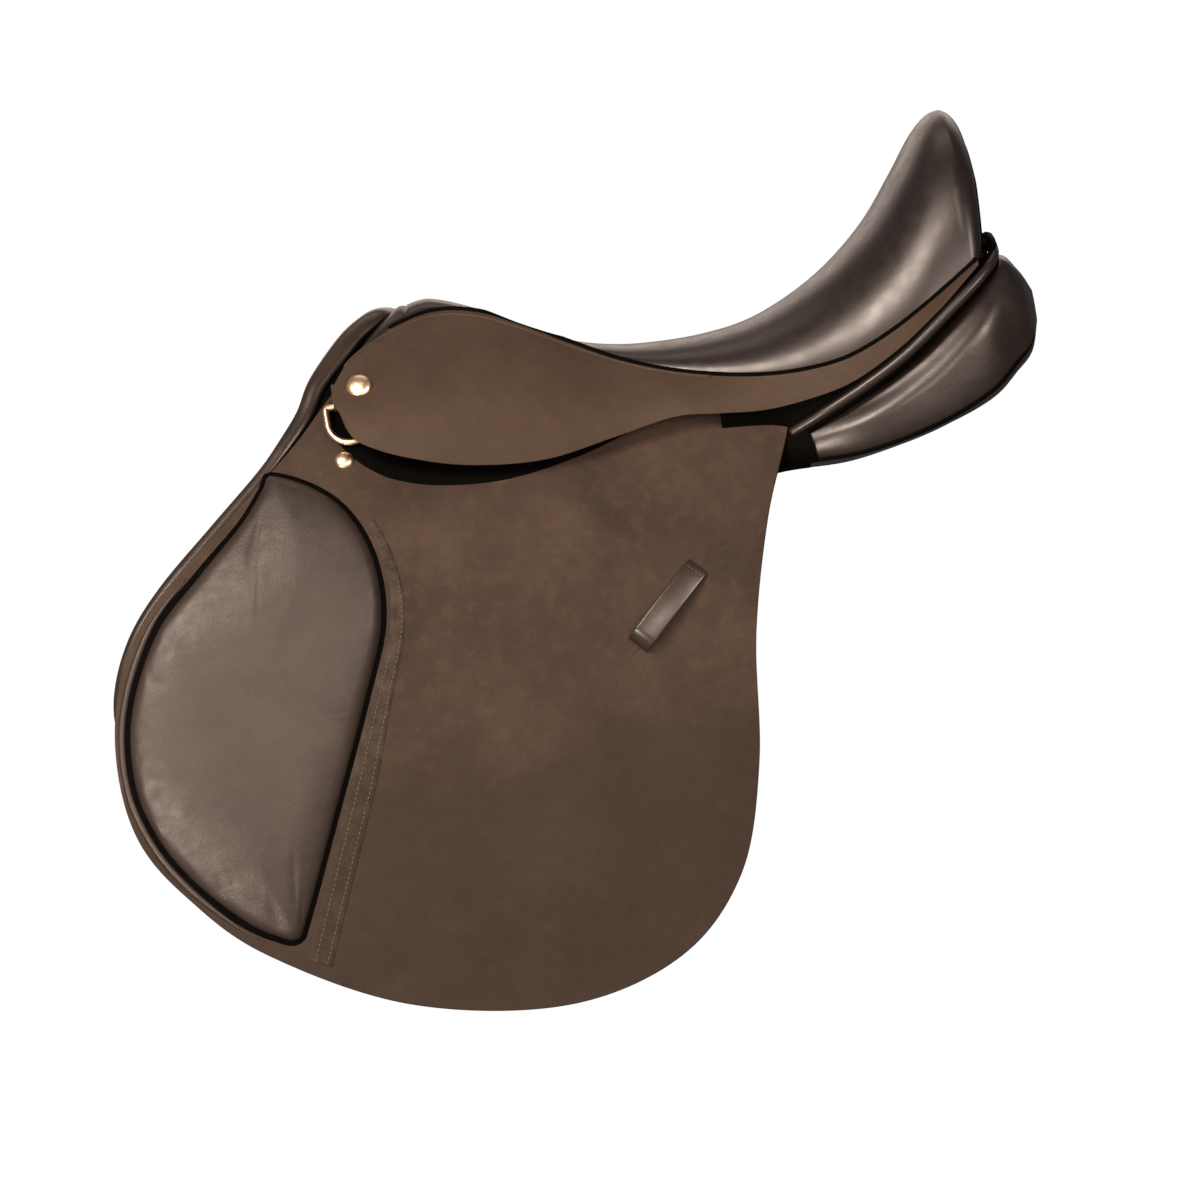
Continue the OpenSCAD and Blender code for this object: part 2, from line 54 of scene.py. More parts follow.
SIDES = {"near": ("left", -1), "off": ("right", 1)}
OUT, UP, BACK = (0, 1, 0), (0, 0, 1), (1, 0, 0)
FRONT_X, REAR_X = -140, 246  # the seat's first and last stations
FLOOR_Z, FLOOR_REACH = -420, 9000

# ---------- patterns: sections are [Y, Z], outlines [X, Z], paths [X, Y, Z] ----------

FLAP_YZ = [[0, 141], [28, 135], [47, 123], [58, 110], [72, 80], [94, 40], [112, 0], [123, -40],
           [129, -85], [132, -140], [134, -240], [135, -345]]
SKIRT_YZ = [[33, 137], [50, 126], [62, 116], [85, 96], [101, 76], [112, 55], [117, 35], [118.5, 15]]
SWEAT_YZ = [[78, 42], [95, 0], [104, -30], [109, -60], [109, -120], [109, -200], [109, -310]]
CROWN = [[-140, 145], [-120, 148], [-90, 136], [-60, 118], [-30, 103], [0, 95], [30, 92],
         [60, 92], [90, 96], [120, 107], [150, 124], [180, 149], [205, 179], [222, 201],
         [235, 212], [246, 214]]
SEAM_Y = [[-150, 42], [-120, 36], [-90, 41], [-60, 50], [-30, 62], [0, 75], [30, 87], [60, 98],
          [90, 107], [120, 114], [150, 119], [180, 124], [210, 128], [246, 128]]
SEAM_Z = [[-150, 130], [-120, 137], [-90, 132], [-60, 117], [-30, 99], [0, 82], [30, 69],
          [60, 60], [90, 54], [120, 52], [150, 55], [180, 66], [210, 82], [246, 104]]
FLAP_XZ = [[-190, 96], [-225, 62], [-275, 21], [-338, -31], [-366, -78], [-376, -130],
           [-370, -180], [-345, -222], [-300, -268], [-212, -317], [-110, -336], [-30, -318],
           [20, -271], [45, -200], [58, -115], [80, -38], [105, 22], [98, 37], [40, 48],
           [-30, 74], [-85, 100], [-130, 108], [-168, 103]]
PAD_XZ = [[-243, 44], [-215, 30], [-195, 8], [-184, -25], [-186, -65], [-205, -112],
          [-240, -188], [-268, -248], [-277, -262], [-290, -258], [-310, -244], [-338, -213],
          [-357, -180], [-366, -142], [-360, -95], [-335, -46], [-300, -13], [-268, 15], [-250, 36]]
PAD_SEAM = [[-240, 50], [-212, 34], [-190, 11], [-178, -24], [-180, -65], [-200, -112],
            [-234, -188], [-273, -277]]
SWEAT_XZ = [[-205, 35], [-260, -2], [-305, -38], [-335, -80], [-345, -140], [-330, -210],
            [-260, -270], [-160, -300], [-60, -295], [0, -260], [30, -190], [40, -110],
            [50, -30], [48, 20], [0, 30], [-120, 35]]
SKIRT_LOW = [[-190, 78], [-187, 66], [-178, 55], [-150, 41], [-110, 29], [-60, 24], [-10, 31],
             [30, 37], [60, 34], [90, 31], [120, 33], [150, 39], [180, 53], [210, 72], [246, 101]]
SKIRT_TOP = [[-188, 103], [-178, 115], [-165, 123], [-150, 130], [-120, 137], [-90, 132],
             [-60, 117], [-30, 99], [0, 82], [30, 69], [60, 60], [90, 54], [120, 52], [150, 55],
             [180, 66], [210, 82], [246, 104]]
# outline of the black piece under the skirt's lower edge, a painted shadow of the skirt on the flap
SKIRT_SHADOW_XZ = [[-200, 84], [-198, 65], [-187, 47], [-170, 32], [-150, 23], [-130, 18], [-105, 15],
           [-80, 15], [-50, 19], [-20, 26], [5, 37], [0, 62], [-60, 78], [-130, 88], [-180, 88]]
SKIRT_LOW_Y = [[30, 117], [75, 117], [115, 120], [150, 125], [200, 130], [246, 131]]
SKIRT_HINGE = ([-185, 93, 84], [30, 114, 46])
FLAP_HINGE = ([-260, 99, 30], [100, 110, 5])
ROLL = [[-150, 0, 141], [-157, 22, 140], [-174, 36, 130], [-190, 48, 115], [-204, 58, 100],
        [-215, 66, 82], [-230, 75, 65], [-250, 84, 45], [-285, 96, 15], [-325, 109, -20],
        [-350, 116, -50], [-365, 118, -85], [-368, 118, -125]]
ROLL_WIDTH = [[-160, 8.6], [-190, 8.0], [-209, 6.4], [-241, 5.0], [-370, 6.5]]
GAP_XZ = [[-150, 140], [-170, 124], [-190, 104], [-210, 83], [-230, 62], [-245, 47]]
WELT = [[105, 108, 13], [130, 120, 23], [160, 128, 36], [190, 132, 52], [225, 132, 77],
        [246, 128, 93], [257, 118, 104], [259, 100, 113], [259, 68, 118], [259, 0, 120]]
KNEE_ROLL = [[-310, 117.5, -80], [-328, 117.5, -115], [-332, 117.5, -150], [-322, 117.5, -190],
             [-300, 117.5, -225], [-270, 117.5, -245]]
D_TOP = [-185, 80, 84]
D_TILT = 24
PANEL = [
    [-196, [[50, 52], [60, 34], [68, 14], [66, 4], [58, 14], [48, 34], [42, 48], [44, 56]]],
    [-180, [[46, 60], [62, 28], [80, 0], [78, -18], [66, -2], [48, 28], [36, 52], [42, 62]]],
    [-140, [[42, 66], [60, 36], [80, 4], [80, -24], [62, -4], [42, 26], [28, 54], [34, 68]]],
    [-90, [[56, 50], [70, 32], [84, 6], [85, -26], [62, -8], [42, 14], [30, 40], [38, 54]]],
    [-40, [[70, 36], [77, 28], [87, 4], [86, -24], [62, -8], [36, 8], [30, 24], [42, 38]]],
    [40, [[75, 29], [81, 20], [86, 2], [84, -18], [64, -6], [36, 8], [30, 20], [46, 31]]],
    [95, [[88, 28], [98, 19], [104, 3], [98, -8], [70, 2], [37, 13], [31, 26], [50, 34]]],
    [150, [[110, 29], [120, 20], [125, 8], [116, -9], [78, 5], [38, 20], [32, 34], [56, 40]]],
    [200, [[116, 52], [127, 40], [131, 25], [122, -1], [78, 10], [40, 27], [34, 44], [60, 54]]],
    [240, [[112, 84], [125, 69], [129, 50], [118, 13], [80, 22], [44, 38], [38, 56], [64, 84]]],
    [262, [[102, 103], [114, 87], [118, 65], [108, 30], [80, 34], [52, 48], [46, 68], [66, 104]]],
    [274, [[94, 93], [104, 82], [107, 66], [100, 42], [80, 42], [60, 54], [55, 68], [70, 93]]],
    [281, [[84, 80], [88, 75], [89, 68], [86, 60], [77, 59], [69, 63], [67, 70], [73, 79]]]]


# ---------- curves ----------


def spline(points, steps=8, closed=False):
    """Catmull-Rom curve through points, as an array."""
    p = np.array(points, float)
    n = len(p)
    spans = n if closed else n - 1
    t = (np.arange(steps) / steps)[:, None]
    out = []
    for i in range(spans):
        pick = [(i + k) % n if closed else min(max(i + k, 0), n - 1) for k in (-1, 0, 1, 2)]
        a, b, c, d = p[pick]
        out.append(0.5 * (2 * b + (c - a) * t + (2 * a - 5 * b + 4 * c - d) * t**2
                          + (3 * b - a - 3 * c + d) * t**3))
    out = np.concatenate(out)
    return out if closed else np.vstack([out, p[-1:]])


def lengths(path):
    """Distance along a path at each of its points."""
    return np.r_[0, np.cumsum(np.linalg.norm(np.diff(path, axis=0), axis=1))]


def sample(at, s, rows):
    """Rows known at places s, read at other places."""
    return np.stack([np.interp(at, s, rows[:, k]) for k in range(rows.shape[1])], 1)


def resample(path, count, closed=False):
    """The path with its points spread evenly along its length."""
    p = np.vstack([path, path[:1]]) if closed else np.asarray(path, float)
    s = lengths(p)
    return sample(np.linspace(0, s[-1], count, endpoint=not closed), s, p)


def curve(points, count, steps=10, closed=False):
    """Smooth curve through points, as count points spread evenly."""
    return resample(spline(points, steps, closed), count, closed)


def circle(count):
    """Angles spread evenly round a circle."""
    return np.linspace(0, 2 * math.pi, count, endpoint=False)


def table(points):
    """Smooth function of a table of [key, value] rows with rising keys."""
    c = spline(points, 6)
    return lambda x: np.interp(x, c[:, 0], c[:, 1])


def across(profile):
    """Outward position of a [Y, Z] profile at a height."""
    c = spline(profile, 8)[::-1]
    return lambda z: np.interp(z, c[:, 1], c[:, 0])


def unit(v):
    """Vectors scaled to length one, along the last axis."""
    v = np.asarray(v, float)
    return v / np.maximum(np.linalg.norm(v, axis=-1, keepdims=True), 1e-12)


flap_y = across(FLAP_YZ)
skirt_y = across(SKIRT_YZ)
sweat_y = across(SWEAT_YZ)
crown_z = table(CROWN)
seam_z = table(SEAM_Z)
seam_y = table(SEAM_Y)
skirt_low_y = table(SKIRT_LOW_Y)


def on_band(out_y, xz, lift=0.0):
    """Points and outward normals on a band whose outward position depends on height alone."""
    xz = np.asarray(xz, float)
    x, z = xz[:, 0], xz[:, 1]
    slope = (out_y(z + 4) - out_y(z - 4)) / 8
    n = unit(np.stack([np.zeros_like(x), np.ones_like(x), -slope], 1))
    return np.stack([x, out_y(z), z], 1) + n * np.reshape(lift, (-1, 1)), n


# ---------- meshes ----------


def make(name, verts, faces, material, side=1, smooth=True, facing=None):
    """Mesh object from millimetre points; side -1 mirrors it to the near side. A skin's faces are
    turned over if they look away from facing, which is given for the off side."""
    v = np.array(verts, float) * MM
    if facing is not None:
        corners = np.array([f[:3] for f in faces])
        a, b, c = (v[corners[:, k]] for k in range(3))
        if (np.cross(b - a, c - a) @ np.array(facing, float)).sum() < 0:
            faces = [tuple(reversed(f)) for f in faces]
    if side < 0:
        v[:, 1] *= -1
        faces = [tuple(reversed(f)) for f in faces]
    mesh = bpy.data.meshes.new(name)
    mesh.from_pydata(v.tolist(), [], [tuple(int(i) for i in f) for f in faces])
    if smooth:
        mesh.polygons.foreach_set("use_smooth", [True] * len(mesh.polygons))
    if facing is None:
        work = bmesh.new()
        work.from_mesh(mesh)
        bmesh.ops.recalc_face_normals(work, faces=work.faces)
        work.to_mesh(mesh)
        work.free()
    mesh.materials.append(material)
    obj = bpy.data.objects.new(name, mesh)
    bpy.context.scene.collection.objects.link(obj)
    return obj


def apply_modifiers(obj):
    """Puts the modifiers' result in the mesh, smooth shaded."""
    bpy.context.view_layer.update()
    graph = bpy.context.evaluated_depsgraph_get()
    mesh = bpy.data.meshes.new_from_object(obj.evaluated_get(graph), depsgraph=graph)
    obj.modifiers.clear()
    obj.data = mesh
    mesh.polygons.foreach_set("use_smooth", [True] * len(mesh.polygons))
    return obj


def thicken(obj, thickness, edge):
    """Gives a single skin its thickness, inwards, and rounds its edges."""
    solid = obj.modifiers.new("thickness", "SOLIDIFY")
    solid.thickness = thickness * MM
    solid.offset = -1
    solid.use_even_offset = True
    round_edges(obj, edge)
    return obj


def round_edges(obj, width, segments=3, angle=50):
    """Rounds the edges that turn by more than angle degrees."""
    bevel = obj.modifiers.new("edge", "BEVEL")
    bevel.width = width * MM
    bevel.segments = segments
    bevel.limit_method = "ANGLE"
    bevel.angle_limit = math.radians(angle)
    return apply_modifiers(obj)


def grid_faces(rows, cols, wrap=False):
    """Quads over a rows x cols grid; wrap joins the last column to the first."""
    last = cols if wrap else cols - 1
    return [(i * cols + j, i * cols + (j + 1) % cols, (i + 1) * cols + (j + 1) % cols,
             (i + 1) * cols + j) for i in range(rows - 1) for j in range(last)]


def grid_mesh(name, grid, material, side=1, wrap=False, caps=False, facing=None):
    """Mesh over a rows x cols grid of points, closed at its ends with fans where caps is set."""
    grid = np.asarray(grid)
    rows, cols = grid.shape[:2]
    verts = grid.reshape(-1, 3)
    faces = grid_faces(rows, cols, wrap)
    if caps:
        verts = np.vstack([verts, grid[0].mean(0), grid[-1].mean(0)])
        a, b, base = rows * cols, rows * cols + 1, (rows - 1) * cols
        faces += [(a, (j + 1) % cols, j) for j in range(cols)]
        faces += [(b, base + j, base + (j + 1) % cols) for j in range(cols)]
    return make(name, verts, faces, material, side, facing=facing)


def star_mesh(name, outline, centre, radii, out_y, lift, material, side):
    """Skin over a closed [X, Z] outline, on the band out_y; lift is its height above the band, as
    a number or as a function of the distance from the outline."""
    middle = np.asarray(centre, float)
    rings = np.stack([middle + (outline - middle) * r for r in radii])
    flat = np.vstack([rings.reshape(-1, 2), [centre]])
    edge = np.full(len(flat), 1e9)
    for i in range(len(outline)):
        a, b = outline[i], outline[(i + 1) % len(outline)]
        t = np.clip(((flat - a) @ (b - a)) / max((b - a) @ (b - a), 1e-9), 0, 1)
        edge = np.minimum(edge, np.linalg.norm(flat - (a + t[:, None] * (b - a)), axis=1))
    verts = on_band(out_y, flat, lift(edge) if callable(lift) else lift)[0]
    k, m = len(radii), len(outline)
    faces = grid_faces(k, m, wrap=True)
    faces += [((k - 1) * m + j, (k - 1) * m + (j + 1) % m, k * m) for j in range(m)]
    return make(name, verts, faces, material, side, facing=OUT)


def tube(name, path, radius, material, side=1, sides=12, flat=1.0, up=None, caps=True, taper=None):
    """Tube along a path; flat squeezes it across up, the direction its narrow side faces."""
    p = np.asarray(path, float)
    d = unit(np.gradient(p, axis=0))
    u = unit(UP if up is None else up)
    if u.ndim == 1:
        u = np.tile(u, (len(p), 1))
    a = unit(np.cross(d, u))
    b = unit(np.cross(a, d))
    ang = circle(sides)[None, :, None]
    k = np.ones(len(p)) if taper is None else taper
    ring = a[:, None] * np.cos(ang) + b[:, None] * (flat * np.sin(ang))
    grid = p[:, None] + ring * radius * k[:, None, None]
    return grid_mesh(name, grid[:, ::-1], material, side, wrap=True, caps=caps)


def stitch_row(name, path, normals, material, side, pitch=3.4, length=2.5, r=0.42, sink=0.1):
    """A row of sewn stitches along a path, each a small rounded bar lying on the leather."""
    s = lengths(path)
    count = max(2, int(s[-1] / pitch))
    at = (np.arange(count) + 0.5) * s[-1] / count
    centre = sample(at, s, path)
    n = unit(sample(at, s, normals))
    d = unit(sample(at, s, np.gradient(path, s, axis=0)))
    w = unit(np.cross(d, n))
    rings, around = [-1, -0.8, -0.3, 0.3, 0.8, 1], 6
    girth = [0.25, 0.75, 1, 1, 0.75, 0.25]
    ang = circle(around)
    verts, faces = [], []
    for c, nn, dd, ww in zip(centre, n, d, w):
        base = len(verts)
        for q, g in zip(rings, girth):
            mid = c + dd * q * length / 2 + nn * (r * 0.35 * g - sink)
            verts += [mid + (ww * math.cos(a) + nn * math.sin(a)) * r * g for a in ang]
        faces += [tuple(base + i for i in f) for f in grid_faces(len(rings), around, wrap=True)]
        faces.append(tuple(base + j for j in range(around))[::-1])
        faces.append(tuple(base + (len(rings) - 1) * around + j for j in range(around)))
    return make(name, verts, faces, material, side)


# ---------- materials ----------


class Nodes:
    """Short forms for the node trees below."""

    def __init__(self, name):
        self.mat = bpy.data.materials.new(name)
        self.mat.use_nodes = True
        self.tree = self.mat.node_tree
        self.shader = self.tree.nodes["Principled BSDF"]
        self.place = self.add("ShaderNodeTexCoord").outputs["Object"]

    def add(self, kind, **settings):
        node = self.tree.nodes.new(kind)
        for key, value in settings.items():
            if key in node.inputs:
                node.inputs[key].default_value = value
            else:
                setattr(node, key, value)
        return node

    def link(self, a, b):
        self.tree.links.new(a, b)

    def feed(self, socket, value):
        """Gives a socket a number, a colour or another node's output."""
        if isinstance(value, bpy.types.NodeSocket):
            self.link(value, socket)
        elif isinstance(value, tuple) and len(value) == 3:
            socket.default_value = (*value, 1)
        else:
            socket.default_value = value

    def surface(self, **values):
        """Feeds the shader's inputs; an underscore in a name stands for a space."""
        for name, value in values.items():
            self.feed(self.shader.inputs[name.replace("_", " ")], value)

    def noise(self, scale, detail=4.0, rough=0.55, stretch=None):
        node = self.add("ShaderNodeTexNoise", Scale=scale, Detail=detail, Roughness=rough)
        source = self.place
        if stretch:
            mapping = self.add("ShaderNodeMapping")
            mapping.inputs["Scale"].default_value = stretch
            self.link(source, mapping.inputs["Vector"])
            source = mapping.outputs["Vector"]
        self.link(source, node.inputs["Vector"])
        return node.outputs["Fac"]

    def cells(self, scale):
        node = self.add("ShaderNodeTexVoronoi", Scale=scale)
        self.link(self.place, node.inputs["Vector"])
        return node.outputs["Distance"]

    def ramp(self, fac, low, high, a=(0, 0, 0, 1), b=(1, 1, 1, 1)):
        node = self.add("ShaderNodeValToRGB")
        node.color_ramp.elements[0].position = low
        node.color_ramp.elements[1].position = high
        node.color_ramp.elements[0].color = a
        node.color_ramp.elements[1].color = b
        self.link(fac, node.inputs["Fac"])
        return node.outputs["Color"]

    def mix(self, fac, a, b, mode="MIX"):
        node = self.add("ShaderNodeMix", data_type="RGBA", blend_type=mode)
        for place, value in ((0, fac), (6, a), (7, b)):
            self.feed(node.inputs[place], value)
        return node.outputs[2]

    def math(self, op, a, b):
        node = self.add("ShaderNodeMath", operation=op)
        self.feed(node.inputs[0], a)
        self.feed(node.inputs[1], b)
        return node.outputs[0]

    def bump(self, height, distance, strength=1.0, under=None):
        node = self.add("ShaderNodeBump", Strength=strength, Distance=distance)
        self.link(height, node.inputs["Height"])
        if under is not None:
            self.link(under, node.inputs["Normal"])
        return node.outputs["Normal"]


def leather(name, dark, mid, light, rough=0.42, grain=1100, grain_h=0.00006, coat=0.0, blotch=14,
            crease=0.0, spec=0.3, mottle=0.0, shade_below=None):
    """Waxed saddle leather: blotched dye, fine pebbled grain, pores, rubbed patches, and, where a
    height is given, painted shade that darkens it below that height.
    """
    n = Nodes(name)
    cloud = n.noise(blotch, 5, 0.6)
    fine = n.noise(blotch * 9, 6, 0.65)
    base = n.mix(n.ramp(cloud, 0.35, 0.68), dark, mid)
    rubbed = n.math("MULTIPLY", n.ramp(n.noise(blotch * 2.3, 3, 0.5), 0.5, 0.85), 0.45)
    base = n.mix(rubbed, base, light)
    base = n.mix(n.math("MULTIPLY", n.ramp(fine, 0.42, 0.7), 0.22), base, dark)
    if mottle:
        patches = n.ramp(n.noise(170, 5, 0.7), 0.40, 0.62)
        base = n.mix(n.math("MULTIPLY", patches, mottle), base, tuple(c * 0.62 for c in mid))
        warm = n.ramp(n.noise(90, 4, 0.6), 0.5, 0.72)
        base = n.mix(n.math("MULTIPLY", warm, mottle), base, (mid[0] * 1.25, mid[1] * 1.08, mid[2]))
    # painted shade: the leather is darkened below the given height, standing in for shade on the
    # lower part
    if shade_below:
        node = n.add("ShaderNodeSeparateXYZ")
        n.link(n.place, node.inputs[0])
        height = n.math("ADD", node.outputs["Z"], n.math("MULTIPLY", n.noise(14, 4, 0.6), 0.12))
        low = n.math("MULTIPLY", n.math("SUBTRACT", shade_below, height), 25)
        low_shade = n.math("MULTIPLY", n.ramp(low, 0.0, 1.0), 0.6)
        base = n.mix(low_shade, base, tuple(c * 0.42 for c in mid))
    pores = n.cells(grain * 0.8)
    pits = n.ramp(pores, 0.0, 0.55, (0.7, 0.68, 0.66, 1), (1, 1, 1, 1))
    gloss = n.ramp(fine, 0.3, 0.75, (rough - 0.07,) * 3 + (1,), (rough + 0.1,) * 3 + (1,))
    pebble = n.bump(n.cells(grain), grain_h, 0.7)
    skin = n.bump(n.noise(grain * 0.28, 6, 0.65), grain_h * 2.4, 0.6, pebble)
    if crease:
        skin = n.bump(n.noise(34, 3, 0.5, (1, 1, 2.4)), crease, 0.8, skin)
    n.surface(Base_Color=n.mix(0.4, base, pits, "MULTIPLY"), Roughness=gloss, Normal=skin,
              Specular_IOR_Level=spec, Specular_Tint=(1, 0.87, 0.79), Coat_Weight=coat,
              Coat_Tint=(1, 0.93, 0.88), Coat_Roughness=0.22)
    return n.mat


def metal(name, colour, rough, scratch=0.00002, tarnish=(0.3, 0.2, 0.1)):
    """Polished metal, a little tarnished in patches."""
    n = Nodes(name)
    base = n.mix(n.math("MULTIPLY", n.ramp(n.noise(160, 4), 0.5, 0.8), 0.3), colour, tarnish)
    gloss = n.ramp(n.noise(420, 5, 0.6), 0.3, 0.8, (rough - 0.05,) * 3 + (1,),
                   (rough + 0.12,) * 3 + (1,))
    n.surface(Metallic=1.0, Base_Color=base, Roughness=gloss,
              Normal=n.bump(n.noise(700, 4, 0.6, (1, 6, 1)), scratch, 0.6))
    return n.mat


def timber(name):
    """Planed beech with its rings along the bar."""
    n = Nodes(name)
    rings = n.noise(60, 6, 0.6, (0.12, 1, 1))
    pores = n.noise(900, 3, 0.6, (0.06, 1, 1))
    base = n.mix(n.ramp(rings, 0.35, 0.65), (0.42, 0.26, 0.13), (0.62, 0.43, 0.25))
    base = n.mix(n.math("MULTIPLY", n.ramp(pores, 0.5, 0.7), 0.4), base, (0.3, 0.18, 0.09))
    n.surface(Base_Color=base, Roughness=0.38, Normal=n.bump(pores, 0.00006, 0.6))
    return n.mat


def cloth(name, colour, shade, scale=900, height=0.00018):
    """Plain woven canvas, its threads crossing at right angles."""
    n = Nodes(name)
    weave = []
    for direction in ("X", "Y"):
        wave = n.add("ShaderNodeTexWave", Scale=scale / 6.3, Distortion=0.4, Detail=1.0)
        wave.bands_direction = direction
        n.link(n.place, wave.inputs["Vector"])
        weave.append(wave.outputs["Fac"])
    both = n.math("MULTIPLY", weave[0], weave[1])
    base = n.mix(both, shade, colour)
    base = n.mix(n.math("MULTIPLY", n.ramp(n.noise(30), 0.4, 0.8), 0.3), base, shade)
    n.surface(Base_Color=base, Roughness=0.85, Sheen_Weight=0.2, Normal=n.bump(both, height, 0.8))
    return n.mat


def thread(name, colour):
    """Waxed linen thread."""
    n = Nodes(name)
    twist = n.noise(2600, 2, 0.5)
    n.surface(Base_Color=n.mix(twist, tuple(c * 0.55 for c in colour), colour), Roughness=0.6,
              Normal=n.bump(twist, 0.0001, 0.7))
    return n.mat


SEAT = leather("seat_hide", (0.006, 0.0035, 0.003), (0.010, 0.006, 0.005), (0.018, 0.012, 0.009),
               rough=0.38, grain=1500, grain_h=0.00003, coat=0.15, blotch=9, spec=0.6)
SKIRT = leather("skirt_hide", (0.044, 0.026, 0.017), (0.064, 0.040, 0.027), (0.084, 0.055, 0.039),
                rough=0.62, grain=1300, grain_h=0.00005, blotch=10, spec=0.16, mottle=0.25)
# the flap and its band get painted shade towards the bottom, below a height of -0.08 m
FLAP = leather("flap_hide", (0.032, 0.019, 0.0125), (0.062, 0.039, 0.027), (0.083, 0.054, 0.038),
               rough=0.66, grain=1000, grain_h=0.00009, blotch=9, spec=0.14, mottle=0.4,
               shade_below=-0.08)
BAND = leather("band_hide", (0.026, 0.017, 0.012), (0.060, 0.040, 0.028), (0.09, 0.063, 0.047),
               rough=0.66, grain=520, grain_h=0.00022, blotch=90, spec=0.14, mottle=0.4,
               shade_below=-0.08)
PAD = leather("pad_hide", (0.020, 0.013, 0.0095), (0.037, 0.025, 0.019), (0.055, 0.038, 0.030),
              rough=0.45, grain=900, grain_h=0.00008, blotch=11, crease=0.0004, spec=0.5,
              mottle=0.2)
PANEL_HIDE = leather("panel_hide", (0.007, 0.004, 0.003), (0.014, 0.0085, 0.0065),
                     (0.026, 0.017, 0.013), rough=0.40, grain=1200, grain_h=0.00005, coat=0.25,
                     blotch=12, crease=0.0003, spec=0.6)
STRAP = leather("strap_hide", (0.016, 0.010, 0.0065), (0.030, 0.018, 0.0125), (0.05, 0.032, 0.023),
                rough=0.36, grain=1300, grain_h=0.00002, coat=0.3, blotch=16, spec=0.5)
# black leather for welts and seams, also used for the black pieces that paint shade in gaps and
# under edges
DARK = leather("welt_and_shade_hide", (0.0006, 0.0004, 0.0003), (0.0012, 0.0008, 0.0006),
               (0.003, 0.002, 0.0015), rough=0.7, grain=1500, grain_h=0.00003, blotch=20, spec=0.04)
BRASS = metal("satin_brass", (0.93, 0.66, 0.42), 0.33, scratch=0.000004)
STEEL = metal("forged_steel", (0.55, 0.54, 0.52), 0.30, tarnish=(0.22, 0.2, 0.18))
BEECH = timber("beech")
CANVAS = cloth("canvas", (0.62, 0.56, 0.44), (0.36, 0.31, 0.23))
FOAM = cloth("foam_skin", (0.75, 0.68, 0.46), (0.55, 0.48, 0.3), scale=2400, height=0.0001)
THREAD = thread("waxed_thread", (0.105, 0.074, 0.052))


# ---------- joints ----------


def hinge_blend(obj, hinge):
    """Works out the downward direction across a lift hinge, which nothing uses, and bakes the
    piece's placement into its mesh.
    """
    a, b = (np.array(p, float) for p in hinge)
    out = np.array([0.0, 0.87, 0.5])
    down = unit(np.cross(unit(b - a), out))
    if down[2] > 0:
        down = -down
    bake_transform(obj)


def fix(obj, body="saddle"):
    """Attaches a piece to the body that it rides on."""
    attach(obj, body)


def on_flap(obj):
    """Passes a piece through hinge_blend with the flap's hinge."""
    hinge_blend(obj, FLAP_HINGE)
    return obj


# ---------- stuffing ----------


SWELL = {}
STEPS = 20
STUFFING = dict(quality=5, mass=0.25, tension_stiffness=25, compression_stiffness=25,
                shear_stiffness=8, bending_stiffness=4, use_pressure=True,
                uniform_pressure_force=4, vertex_group_mass="held")


def swell(obj, held, reach):
    """How far each point of a skin moves when it is blown up by its stuffing, seams held."""
    rest = np.array([v.co for v in obj.data.vertices])
    group = obj.vertex_groups.new(name="held")
    group.add(list(held), 1.0, "REPLACE")
    cloth_mod = obj.modifiers.new("stuffing", "CLOTH")
    for key, value in STUFFING.items():
        setattr(cloth_mod.settings, key, value)
    cloth_mod.settings.effector_weights.gravity = 0
    cloth_mod.point_cache.frame_start = 1
    cloth_mod.point_cache.frame_end = STEPS
    for step in range(1, STEPS + 1):
        bpy.context.scene.frame_set(step)
    graph = bpy.context.evaluated_depsgraph_get()
    grown = np.array([v.co for v in obj.evaluated_get(graph).data.vertices])
    bpy.context.scene.frame_set(1)
    obj.modifiers.clear()
    obj.vertex_groups.clear()
    move = grown - rest
    far = np.linalg.norm(move, axis=1, keepdims=True)
    return move * np.tanh(far / (reach * MM)) * reach * MM / np.maximum(far, 1e-9)


def inflate(obj, kind, side, held, reach):
    """Blows up a pad by cloth simulation; the other side takes the mirror image."""
    flip = np.array([1, side, 1])
    if kind not in SWELL:
        SWELL[kind] = swell(obj, held, reach) * flip
    points = np.array([v.co for v in obj.data.vertices]) + SWELL[kind] * flip
    obj.data.vertices.foreach_set("co", points.ravel())
    obj.data.update()


# ---------- seat ----------


def seat_row(x, s, drop=0.0, inset=0.0):
    """Row of seat points at station x; s runs -1 to 1 across, even in angle."""
    x = min(max(x, FRONT_X), REAR_X)
    w, zs = seam_y(x) - inset, min(seam_z(x), crown_z(x) - 3)
    zc = crown_z(x) - drop
    a = np.sin(s * math.pi / 2)
    return np.stack([np.full_like(s, x), w * a,
                     zs + (zc - zs) * np.maximum(0, 1 - np.abs(a) ** 2.8) ** 0.5], 1)


def seat_grid():
    """The seat's rows, turned over the pommel in front and over the cantle behind."""
    s = np.linspace(-1, 1, 97)
    rows = []
    for q in np.radians([90, 75, 60, 45, 30, 15]):
        row = seat_row(FRONT_X, s, 9 * (1 - math.cos(q)), 4 * (1 - math.cos(q)))
        row[:, 0] = -135 - 6 * math.sin(q)
        rows.append(row)
    for x in np.linspace(-135, 240, 130):
        rows.append(seat_row(x, s))
    for q in np.radians(np.linspace(8, 90, 11)):
        row = seat_row(REAR_X, s, 22 * (1 - math.cos(q)), 9 * (1 - math.cos(q)))
        reach = 8 + 6 * np.clip((row[:, 2] - 104) / 55, 0, 1) ** 0.7
        row[:, 0] = 241 + reach * math.sin(q)
        rows.append(row)
    return np.array(rows)


